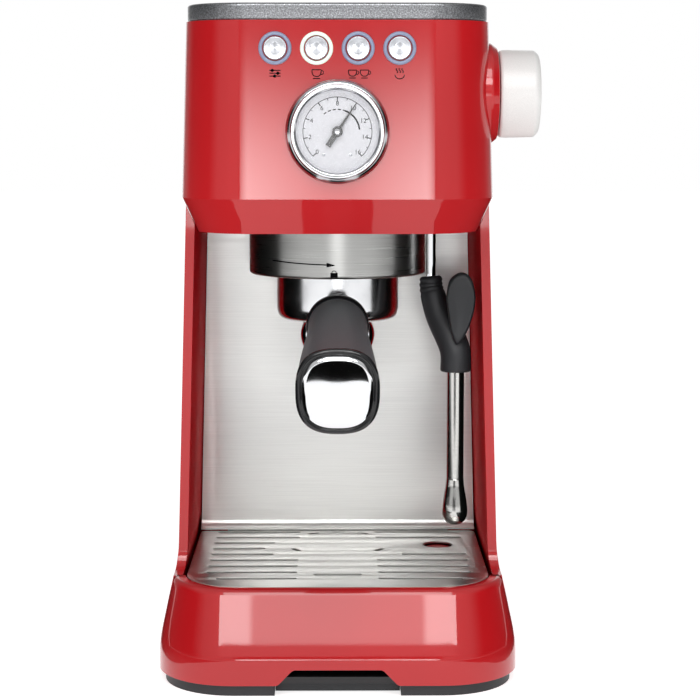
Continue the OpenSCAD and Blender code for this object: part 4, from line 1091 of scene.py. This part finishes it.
class ESPRESSO_OT_buttons(PieceOperator, bpy.types.Operator):
    """Spun button caps in their light rings, with the marks printed below"""
    bl_idname = "espresso.buttons"
    bl_label = "Buttons"

    def make(self, sizes):
        out = (0, -1, 0)
        bodies = ("program", "single", "double", "steam")
        cap_r, ring_in = BUTTON_R - 2.25, BUTTON_R - 1.75
        ring = soften([(ring_in, -6), (ring_in, 0.75), (ring_in + 0.35, 1.15), (BUTTON_R - 0.55, 1.15),
                       (BUTTON_R, 0.55), (BUTTON_R, -0.5)], 0.25, 3)
        cap = soften([(0, 1.45), (cap_r * 0.5, 1.35), (cap_r - 0.75, 1.6), (cap_r - 0.3, 1.75),
                      (cap_r, 1.35), (cap_r, -7.5), (0, -7.5)], 0.3, 3)
        lit = 1
        for i, body in enumerate(bodies):
            at = Vector(((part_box("button_" + body)[0].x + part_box("button_" + body)[1].x) / 2 / MM,
                         Y_HEAD, BUTTON_Z))
            lathe_piece("cap_" + body, cap, out, at, MATERIALS["spun"], body + "_button", "button_cap",
                        ["button_" + body], 64)
            lathe_piece("light_ring_" + body, ring, out, at, MATERIALS["ring_lit" if i == lit else "ring"],
                        "housing", "button_ring", ["button_rings"] if i == 0 else (), 64)
            lathe_piece("well_" + body, [(cap_r - 0.3, -1.2), (BUTTON_R - 0.6, -1.2), (BUTTON_R - 0.6, 0.3),
                                        (ring_in - 0.02, 0.3), (ring_in - 0.02, -0.9), (cap_r - 0.3, -1.2)],
                        out, at, MATERIALS["abs"], "housing", "black_plastic", (), 64)
        self.prints(sizes)

    def prints(self, sizes):
        """Small generic marks: bars, one cup, two cups and steam."""
        def cup(cx, cy, s):
            bowl = [(cx - s, cy + s * 0.75), (cx - s, cy), (cx - s * 0.55, cy - s * 0.7),
                    (cx + s * 0.55, cy - s * 0.7), (cx + s, cy), (cx + s, cy + s * 0.75)]
            line = [tuple(p)[:2] for p in soften([(x, y, 0) for x, y in bowl], s * 0.5, 4)]
            return [stroke(line + [line[0]], 0.42),
                    stroke(arc_points(cx + s * 1.1, cy + s * 0.15, s * 0.42, 110, -110, 10), 0.36),
                    stroke([(cx - s * 0.8, cy - s * 1.15), (cx + s * 0.8, cy - s * 1.15)], 0.42)]

        def steam(cx, cy):
            wave = []
            for k in (-1, 0, 1):
                wave.append(stroke([(cx + k * 1.3 + 0.35 * math.sin(t * 6), cy + 0.1 + t * 2.2)
                                    for t in (i / 10 for i in range(11))], 0.42))
            wave.append(stroke(arc_points(cx, cy - 0.3, 2.3, 190, 350, 14), 0.42))
            return wave

        shape = Shape()
        pitch = (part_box("button_steam")[0].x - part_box("button_program")[0].x) / MM / 3
        z = BUTTON_Z - 11.4
        height = sizes.print_height / MM
        bars = [stroke([(-1.5 * pitch - 2.6, d), (-1.5 * pitch + 2.6, d)], 0.44) for d in (-1.3, 0, 1.3)]
        knobs = [arc_points(-1.5 * pitch + x, d, 0.75, 0, 360, 16)[:-1]
                 for x, d in ((-1.2, 1.3), (1.3, 0), (-0.2, -1.3))]
        marks = bars + knobs + cup(-0.5 * pitch, 0, 2.1)
        marks += cup(0.5 * pitch - 2.6, 0, 1.9) + cup(0.5 * pitch + 2.9, 0, 1.9) + steam(1.5 * pitch, 0)
        marks_to_shape(shape, marks, height, front_frame(0, Y_HEAD, z))
        shape.build("button_prints", MATERIALS["ink"], "housing", "needle_black", weighted=False)


class ESPRESSO_OT_steam_knob(PieceOperator, bpy.types.Operator):
    """White steam knob on its enamelled boss"""
    bl_idname = "espresso.steam_knob"
    bl_label = "Steam knob"

    def make(self, sizes):
        r = (KNOB_HI.z - KNOB_LO.z) / 2
        l = KNOB_HI.x - KNOB_LO.x
        profile = soften([(0, 0), (r - 1.0, 0), (r - 0.2, 1.0), (r, 3), (r - 0.3, l - 2.2), (r - 2.6, l),
                          (r - 5, l - 0.2), (r - 5.6, l - 0.9), (0, l - 0.7)], 1.2, 5)
        lathe_piece("knob", profile, (1, 0, 0), (KNOB_LO.x, KNOB.y, KNOB.z), MATERIALS["knob"], "knob",
                    "white_knob", ["steam_knob"], 128)
        mark = Shape()
        marks_to_shape(mark, [stroke([(0, r - 4.8), (0, r - 1.9)], 0.9)], 0.15,
                       facing((1, 0, 0), (KNOB_HI.x - 0.35, KNOB.y, KNOB.z)))
        mark.build("knob_mark", MATERIALS["ink"], "knob", "needle_black", weighted=False)
        rb = (BOSS_HI.z - BOSS_LO.z) / 2
        lb = BOSS_HI.x - BOSS_LO.x
        boss = soften([(rb, 0), (rb, lb - 3.4), (rb - 2.6, lb), (rb - 8, lb), (rb - 8, lb - 2)], 0.8, 4)
        lathe_piece("boss", boss, (1, 0, 0), (BOSS_LO.x, KNOB.y, KNOB.z), MATERIALS["enamel"], "housing",
                    "red_enamel", ["knob_boss"], 128)


class ESPRESSO_OT_group(PieceOperator, bpy.types.Operator):
    """Steel collar of the group with its locking arrow"""
    bl_idname = "espresso.group"
    bl_label = "Group"

    def make(self, sizes):
        r = (COLLAR_HI.x - COLLAR_LO.x) / 2
        h = COLLAR_HI.z - COLLAR_LO.z
        profile = soften([(34, h), (r - 0.3, h), (r, h - 0.5), (r, 0.9), (r - 0.9, 0), (r - 2.6, 0),
                          (r - 3.0, 0.6), (r - 3.0, h - 3)], 0.5, 3)
        lathe_piece("group_ring", profile, (0, 0, 1), (0, GROUP.y, COLLAR_LO.z), MATERIALS["collar"],
                    "housing", "brushed_steel", ["group_collar"], 128)
        self.arrow(sizes, r)

    def arrow(self, sizes, r):
        """A curved arrow and a closed padlock, wrapped round the collar."""
        def band(points, w):
            return [stroke(points[k:k + 2], w) for k in range(len(points) - 1)]

        def block(x0, x1, z0, z1, steps):
            xs = [x0 + (x1 - x0) * k / steps for k in range(steps + 1)]
            return [[(a, z0), (b, z0), (b, z1), (a, z1)] for a, b in zip(xs, xs[1:])]

        line = [(-36 + 31 * t, 8.6 - 2.2 * t + 0.8 * t * t) for t in (k / 20 for k in range(21))]
        marks = band(line, 0.6)
        marks += [[(-5.4 + k, 8.3 - 0.29 * k), (-4.4 + k, 8.01 - 0.29 * (k + 1) + 0.29),
                   (-4.4 + k, 6.19 + 0.19 * k), (-5.4 + k, 6.0 + 0.19 * k)] for k in range(4)]
        marks += block(-3.5, 0.1, 0.9, 3.3, 4)
        marks += band([(x - 1.7, z) for x, z in arc_points(0, 3.2, 1.1, 180, 0, 12)], 0.4)
        shape = Shape()
        height = sizes.print_height / MM
        for points in marks:
            n = len(points)
            verts = []
            for out in (0.01, height):
                for x, z in points:
                    a = x / r
                    verts.append(Vector(((r + out) * math.sin(a), GROUP.y - (r + out) * math.cos(a),
                                         COLLAR_LO.z + z)))
            faces = [tuple(range(n, 2 * n)), tuple(reversed(range(n)))]
            faces += [(k, (k + 1) % n, (k + 1) % n + n, k + n) for k in range(n)]
            shape.add((verts, faces))
        shape.build("group_prints", MATERIALS["ink"], "housing", "needle_black", weighted=False)


def superellipse(w, h, power, count=72):
    """Points of a rounded outline in XZ, w wide and h high."""
    out = []
    for k in range(count):
        a = 2 * math.pi * k / count
        c, s = math.cos(a), math.sin(a)
        out.append((math.copysign(abs(c) ** (2 / power), c) * w / 2,
                    math.copysign(abs(s) ** (2 / power), s) * h / 2))
    return out


class ESPRESSO_OT_portafilter(PieceOperator, bpy.types.Operator):
    """Portafilter: chromed body, double spout and a soft handle with a polished end plate"""
    bl_idname = "espresso.portafilter"
    bl_label = "Portafilter"

    def make(self, sizes):
        body = "portafilter"
        r = 31.1
        z0 = HOLDER_LO.z
        top = HOLDER_HI.z - z0
        shape = Shape().add(turned(soften([(0, 0.4), (8, 0), (r - 4.5, 0), (r - 1.2, 1.5), (r, 5), (r, top),
                                           (r - 2.8, top), (r - 2.8, 6), (0, 6)], 1.8, 5), 128))
        for s in (-1, 1):
            x0, x1 = s * (r - 1), s * (r + 6.2)
            lug = lofted([[(x0, -7, z), (x1, -6, z), (x1, 6, z), (x0, 7, z)]
                          for z in (top - 6, top - 1.5)])
            shape.add(lug)
        shape.build("holder_body", MATERIALS["satin_chrome"], body, "chrome", ["portafilter_body"],
                    frame_at=Matrix.Translation((0, GROUP.y, z0)))
        self.spout()
        self.handle()

    def spout(self):
        """Two curved arms that part under the body and end in cut tubes."""
        top = SPOUT_HI.z
        low = SPOUT_LO.z
        x = 13.0
        stem = soften([(0, top - 12), (6.5, top - 12), (8, top - 8), (8, top)], 1.5, 4)
        shape = Shape().add(turned(stem, 48), Matrix.Translation((0, GROUP.y, 0)))
        for s in (-1, 1):
            path = smooth_path([(0, GROUP.y, top - 9), (s * 7, GROUP.y, top - 8.4),
                                (s * 12.2, GROUP.y, top - 10.5), (s * 14.2, GROUP.y, top - 15),
                                (s * x, GROUP.y, low + 3), (s * x, GROUP.y, low)], 6)
            radii = [5.4 - 0.9 * i / (len(path) - 1) for i in range(len(path))]
            shape.add(swept(path, radii, 28))
            bore = turned([(3.4, 0.02), (2.6, 1.2), (2.6, 5), (0, 5)], 28)
            shape.add(bore, Matrix.Translation((s * x, GROUP.y, low - 0.04)), 1)
        shape.build("spouts", [MATERIALS["chrome"], MATERIALS["abs"]], "portafilter", "chrome",
                    ["portafilter_spout"])

    def handle(self):
        tilt = math.radians(9)
        length = 163.0
        start = 52.8
        slim = 28.6
        pivot_z = HOLDER_LO.z + 9.3
        place = Matrix.Translation((0, GROUP.y, pivot_z)) @ Matrix.Rotation(tilt, 4, "X")

        def section(s, w, h, power):
            return [(x, -s, z) for x, z in superellipse(w, h, power)]

        neck = Shape().add(lofted([section(s, w, w, 2) for s, w in
                                   ((28, 20), (34, 20), (40, 21), (47, 25))]))
        neck.build("handle_neck", MATERIALS["satin_chrome"], "portafilter", "chrome", ["handle_rod"],
                   frame_at=place)
        ring = [(46.5, 27.0), (47, 29.4), (48, 30.6), (50.5, 31.0), (52, 30.6), (52.8, 29.4)]
        Shape().add(lofted([section(s, w, w, 2.05) for s, w in ring])).build(
            "handle_ring", MATERIALS["gloss_abs"], "portafilter", "black_plastic", frame_at=place)
        end = length - 5.5
        grip = []
        steps = 22
        for k in range(steps + 1):
            t = k / steps
            s = start + (end - start) * t
            swell = t * t * (3 - 2 * t)
            w = slim + 7.2 * swell
            h = slim + 8.8 * swell
            grip.append(section(s, w, h, 2.05 + 0.6 * t))
        Shape().add(lofted(grip)).build("grip", MATERIALS["grip"], "portafilter", "soft_grip",
                                        ["handle_grip"], frame_at=place, angle=50)
        rim = [(end, 35.6, 37.2), (end + 0.3, 36.4, 38.2), (end + 1.2, 37.0, 39.0),
               (end + 2.2, 36.8, 38.8), (end + 3.0, 35.8, 37.8), (end + 3.3, 34.2, 36.2),
               (end + 3.1, 32.6, 34.4), (end + 2.5, 31.6, 33.4)]
        Shape().add(lofted([section(s, w, h, 2.65) for s, w, h in rim])).build(
            "handle_rim", MATERIALS["gloss_abs"], "portafilter", "black_plastic", frame_at=place, angle=50)
        plate = [(end + 2.2, 31.6, 33.2), (end + 3.2, 31.4, 33.0), (end + 3.9, 30.6, 32.2),
                 (end + 4.2, 29.2, 30.8)]
        plate += [(end + 4.2 + 0.7 * math.sin(a), 29.2 * math.cos(a), 30.8 * math.cos(a))
                  for a in (math.pi / 2 * k / 10 for k in range(1, 10))]
        Shape().add(lofted([section(s, w, h, 2.65) for s, w, h in plate])).build(
            "handle_plate", MATERIALS["chrome"], "portafilter", "chrome", ["handle_cap"], frame_at=place,
            angle=50)


class ESPRESSO_OT_wand(PieceOperator, bpy.types.Operator):
    """Steam wand: chromed pipe, ribbed rubber grip with its thumb tab, steel sleeve and tip"""
    bl_idname = "espresso.wand"
    bl_label = "Steam wand"

    def make(self, sizes):
        body = "wand"
        ball = frame_joint("wand_tilt")
        low = (SLEEVE_LO + SLEEVE_HI) / 2
        tip = (TIP_LO + TIP_HI) / 2
        r_pipe = 2.4
        pipe = smooth_path([ball, (ball.x, ball.y, GRIP_HI.z + 6),
                            (ball.x + 0.3, ball.y - 0.4, GRIP_HI.z - 8),
                            (ball.x + 3, ball.y - 3.5, GRIP_HI.z - 20),
                            (low.x - 2, low.y + 2, GRIP_LO.z + 18),
                            (low.x, low.y, GRIP_LO.z + 6)])
        shape = Shape().add(swept(pipe, r_pipe, 28))
        ball_r = 6.0
        shape.add(turned([(ball_r * math.sin(a), -ball_r * math.cos(a))
                          for a in (math.pi * k / 24 for k in range(25))], 40), Matrix.Translation(ball))
        shape.build("pipe", MATERIALS["chrome"], body, "chrome", ["wand_pipe"])
        self.grip(sizes, ball, low)
        r = (SLEEVE_HI.x - SLEEVE_LO.x) / 2
        sleeve = soften([(0, 0), (r, 0), (r, SLEEVE_HI.z - TIP_HI.z - 1)], 0.2)
        lathe_piece("sleeve", [(r - 0.3, 0)] + sleeve[1:] + [(0, sleeve[-1].y)], (0, 0, 1),
                    (low.x, low.y, TIP_HI.z), MATERIALS["sleeve"], body, "brushed_steel", ["wand_sleeve"], 48)
        h = TIP_HI.z - TIP_LO.z
        rt = (TIP_HI.x - TIP_LO.x) / 2
        flare = [(0.9, 2.0), (0.9, 0.2), (1.6, 0.05), (3.4, 0.7), (5.2, 2.4), (6.3, 4.8), (rt, 7.4),
                 (rt - 0.25, 10.5), (rt - 0.9, 15), (r + 0.35, 20), (r + 0.1, h - 0.35), (r - 0.1, h),
                 (0, h)]
        lathe_piece("tip", soften(flare, 0.8, 3), (0, 0, 1), (tip.x, tip.y, TIP_LO.z),
                    MATERIALS["sleeve"], body, "brushed_steel", ["wand_tip"], 64)

    def grip(self, sizes, ball, low):
        z0, z1 = GRIP_LO.z, 192.9
        mid = Vector((ball.x, ball.y, 0))
        bend = smooth_path([(mid.x, mid.y, z1 + 0.4), (mid.x + 0.6, mid.y - 0.6, z1 - 7),
                            (mid.x + 4.2, mid.y - 4.6, z1 - 19), (low.x - 2.2, low.y + 2.4, z1 - 30),
                            (low.x, low.y, z0 + 9), (low.x, low.y, z0)], 14)
        rib = sizes.rib / MM
        radii = []
        for p in bend:
            t = (z1 - p.z) / (z1 - z0)
            base = 5.7 + 1.9 * min(1, t * 1.6)
            if t < 0.2:
                base -= rib * (0.5 + 0.5 * math.cos(t * 2 * math.pi / 0.052))
            radii.append(base)
        radii[0] -= 0.9
        radii[-1] -= 0.35
        shape = Shape().add(swept(bend, radii, 40))
        tab_y = low.y - 8.5
        outline = smooth_path([(low.x - 5.4, 184), (low.x - 3.6, 193), (low.x + 2.0, 196.9),
                               (low.x + 7.2, 193.5), (low.x + 9.2, 183), (low.x + 6.4, 170.5),
                               (low.x + 1.2, 161.4), (low.x - 2.6, 166), (low.x - 5.4, 184)], 6)[:-1]
        centre = Vector((low.x + 1.6, 182))
        loops = []
        for shrink, depth in ((0.86, 5.6), (0.95, 3.2), (1.0, 0.6), (1.0, -0.4), (0.955, -1.9), (0.88, -2.7),
                              (0.82, -2.6), (0.5, -2.0), (0.2, -1.7)):
            loops.append([(centre.x + (p[0] - centre.x) * shrink, tab_y + depth + (190 - p[1]) * 0.02,
                           centre.y + (p[1] - centre.y) * shrink) for p in outline])
        shape.add(lofted(loops))
        shape.build("wand_handle", MATERIALS["rubber"], "wand", "black_rubber", ["wand_grip"], angle=60)


class ESPRESSO_OT_stage(bpy.types.Operator):
    """Floor, backdrop, lights and camera"""
    bl_idname = "espresso.stage"
    bl_label = "Stage"

    def execute(self, context):
        floor()
        world(context.scene)
        lights()
        camera(context.scene)
        context.scene.view_settings.view_transform = "Standard"
        return {"FINISHED"}


def stage_plane(name, corners, material):
    """A flat stage panel through four points, in metres."""
    mesh = bpy.data.meshes.new(name)
    mesh.from_pydata([Vector(c) for c in corners], [], [(0, 1, 2, 3)])
    mesh.materials.append(material)
    panel = bpy.data.objects.new(name, mesh)
    bpy.context.scene.collection.objects.link(panel)
    return panel


def unseen(panel):
    """Leaves a stage panel visible only in glossy surfaces."""
    panel.visible_camera = False
    panel.visible_diffuse = False
    panel.visible_shadow = False


def card(name, material, x0, x1, y0, y1, z0, z1):
    """A lighting card, seen only in glossy surfaces, between two heights or two depths."""
    corners = [(x0, y0, z0), (x1, y0, z0), (x1, y1, z1), (x0, y1, z1)]
    unseen(stage_plane(name, corners, material))


def floor():
    """A white floor that lifts the light from below and keeps a faint contact shadow."""
    white = blank("pale_floor", Base_Color=(0.8, 0.8, 0.8, 1), Roughness=0.8,
                  Specular_IOR_Level=0.0, Emission_Color=(1, 1, 1, 1), Emission_Strength=0.75)[0]
    reach = 6
    stage_plane("floor", [(-reach, -reach, 0), (reach, -reach, 0), (reach, reach, 0), (-reach, reach, 0)],
                white)


def emitter(name):
    """A material with only an emission shader, and where on its panel a point lies."""
    m = bpy.data.materials.new(name)
    m.use_nodes = True
    tree = m.node_tree
    tree.nodes.clear()
    light = add(tree, "ShaderNodeEmission")
    add(tree, "ShaderNodeOutputMaterial", {"Surface": light.outputs["Emission"]})
    where = add(tree, "ShaderNodeTexCoord")
    part = add(tree, "ShaderNodeSeparateXYZ", {"Vector": where.outputs["Object"]})
    return m, tree, light, part


def front_glow():
    """Low front panel: bright at its foot, fading upwards and at its ends, weaker in its middle."""
    m, tree, light, part = emitter("front_glow")
    height = add(tree, "ShaderNodeMapRange", {"Value": part.outputs["Z"]},
                 From_Min=0.12, From_Max=0.43, To_Min=1.0, To_Max=0.0)
    fade = ramp(tree, height.outputs["Result"], [(0.0, 0.05), (1.0, 1.0)])
    fade.color_ramp.interpolation = "EASE"
    across = add(tree, "ShaderNodeMath", {0: part.outputs["X"]}, operation="ABSOLUTE")
    middle = add(tree, "ShaderNodeMapRange", {"Value": across.outputs["Value"]},
                 From_Min=0.02, From_Max=0.14, To_Min=6.0, To_Max=11.0)
    power = add(tree, "ShaderNodeMath", {0: fade.outputs["Color"], 1: middle.outputs["Result"]},
                operation="MULTIPLY")
    sides = add(tree, "ShaderNodeMapRange", {"Value": across.outputs["Value"]},
                interpolation_type="SMOOTHSTEP", From_Min=0.16, From_Max=0.3, To_Min=1.0, To_Max=0.0)
    soft = add(tree, "ShaderNodeMath", {0: power.outputs["Value"], 1: sides.outputs["Result"]},
               operation="MULTIPLY")
    tree.links.new(soft.outputs["Value"], light.inputs["Strength"])
    return m


def upper_glow():
    """High front panel: two bright wings with a weaker middle."""
    m, tree, light, part = emitter("upper_glow")
    across = add(tree, "ShaderNodeMath", {0: part.outputs["X"]}, operation="ABSOLUTE")
    wings = add(tree, "ShaderNodeMapRange", {"Value": across.outputs["Value"]},
                From_Min=0.115, From_Max=0.135, To_Min=3.8, To_Max=9.0)
    tree.links.new(wings.outputs["Result"], light.inputs["Strength"])
    return m


def world(scene):
    """A studio that is white behind the machine, grey in front and above, and black at its sides."""
    made = bpy.data.worlds.new("studio")
    scene.world = made
    made.use_nodes = True
    tree = made.node_tree
    back = tree.nodes["Background"]
    where = add(tree, "ShaderNodeTexCoord")
    part = add(tree, "ShaderNodeSeparateXYZ", {"Vector": where.outputs["Generated"]})
    across = add(tree, "ShaderNodeMath", {0: part.outputs["X"]}, operation="ABSOLUTE")
    sides = ramp(tree, across.outputs["Value"], [(0.72, 1.0), (0.9, 0.03)])
    along = add(tree, "ShaderNodeMapRange", {"Value": part.outputs["Y"]},
                From_Min=-1.0, From_Max=1.0)
    depth = ramp(tree, along.outputs["Result"], [(0.0, 0.6), (0.55, 0.6), (0.7, 0.2), (0.93, 0.2),
                                                 (0.95, 1.0)])
    both = add(tree, "ShaderNodeMath", {0: sides.outputs["Color"], 1: depth.outputs["Color"]},
               operation="MULTIPLY")
    tree.links.new(both.outputs["Value"], back.inputs["Color"])
    back.inputs["Strength"].default_value = 1.0


def key_light(at, target, size, power):
    """A soft box that looks at a point."""
    data = bpy.data.lights.new("key_light", "AREA")
    data.shape = "RECTANGLE"
    data.size, data.size_y = size
    data.energy = power
    lamp = bpy.data.objects.new("key_light", data)
    bpy.context.scene.collection.objects.link(lamp)
    lamp.location = at
    lamp.rotation_euler = (Vector(at) - Vector(target)).to_track_quat("Z", "Y").to_euler()


def lights():
    card("front_card", front_glow(), -0.31, 0.31, -2.2, -2.2, 0.1, 0.5)
    card("upper_card", upper_glow(), -0.7, 0.7, -1.5, -1.4, 0.8, 1.2)
    black = blank("flag_black", Base_Color=(0.004, 0.004, 0.004, 1), Roughness=1.0,
                  Specular_IOR_Level=0.0)[0]
    wing = ((-0.1, 0.06), (-0.04, 0.06), (-0.04, 0.218), (-0.1, 0.218))
    for s, hand in ((-1, "left"), (1, "right")):
        card("floor_flag_" + hand, black, s * 0.12, s * 1.2, -0.5, 1.2, 0.002, 0.002)
        unseen(stage_plane("side_flag_" + hand, [(s * 0.0685, y, z) for y, z in wing], black))
    card("plate_flag", black, -0.09, 0.09, -0.45, -0.45, 0.056, 0.13)
    key_light((0, -1.6, 1.9), (0, -0.1, 0.15), (1.2, 0.8), 16)


def camera(scene):
    data = bpy.data.cameras.new("camera")
    data.lens = 99.8
    data.sensor_width = 36
    data.clip_end = 50
    eye = bpy.data.objects.new("camera", data)
    scene.collection.objects.link(eye)
    eye.location = (0, -1.05, 0.2733)
    eye.rotation_euler = (math.radians(90 - 6.87), 0, math.radians(-0.369))
    scene.camera = eye


class ESPRESSO_PT_panel(bpy.types.Panel):
    """Lists the machine's pieces, colours and sizes"""
    bl_idname = "ESPRESSO_PT_panel"
    bl_label = "Espresso Machine"
    bl_space_type = "VIEW_3D"
    bl_region_type = "UI"
    bl_category = "Espresso"

    def draw(self, context):
        for group in (context.scene.espresso_colours, context.scene.espresso_sizes):
            box = self.layout.box()
            for key in group.__annotations__:
                box.prop(group, key)
        for kind in OPERATORS:
            self.layout.operator(kind.bl_idname)


OPERATORS = (
    ESPRESSO_OT_finishes, ESPRESSO_OT_tray_cover, ESPRESSO_OT_housing, ESPRESSO_OT_head,
    ESPRESSO_OT_lids, ESPRESSO_OT_drip_grid, ESPRESSO_OT_gauge, ESPRESSO_OT_buttons,
    ESPRESSO_OT_steam_knob, ESPRESSO_OT_group, ESPRESSO_OT_portafilter, ESPRESSO_OT_wand,
    ESPRESSO_OT_stage,
)
CLASSES = (EspressoColours, EspressoSizes, *OPERATORS, ESPRESSO_PT_panel)


def register():
    for kind in CLASSES:
        bpy.utils.register_class(kind)
    bpy.types.Scene.espresso_colours = bpy.props.PointerProperty(type=EspressoColours)
    bpy.types.Scene.espresso_sizes = bpy.props.PointerProperty(type=EspressoSizes)


def unregister():
    del bpy.types.Scene.espresso_sizes
    del bpy.types.Scene.espresso_colours
    for kind in reversed(CLASSES):
        bpy.utils.unregister_class(kind)


def main():
    register()
    for kind in OPERATORS:
        group, name = kind.bl_idname.split(".")
        getattr(getattr(bpy.ops, group), name)()


if __name__ == "__main__":
    main()
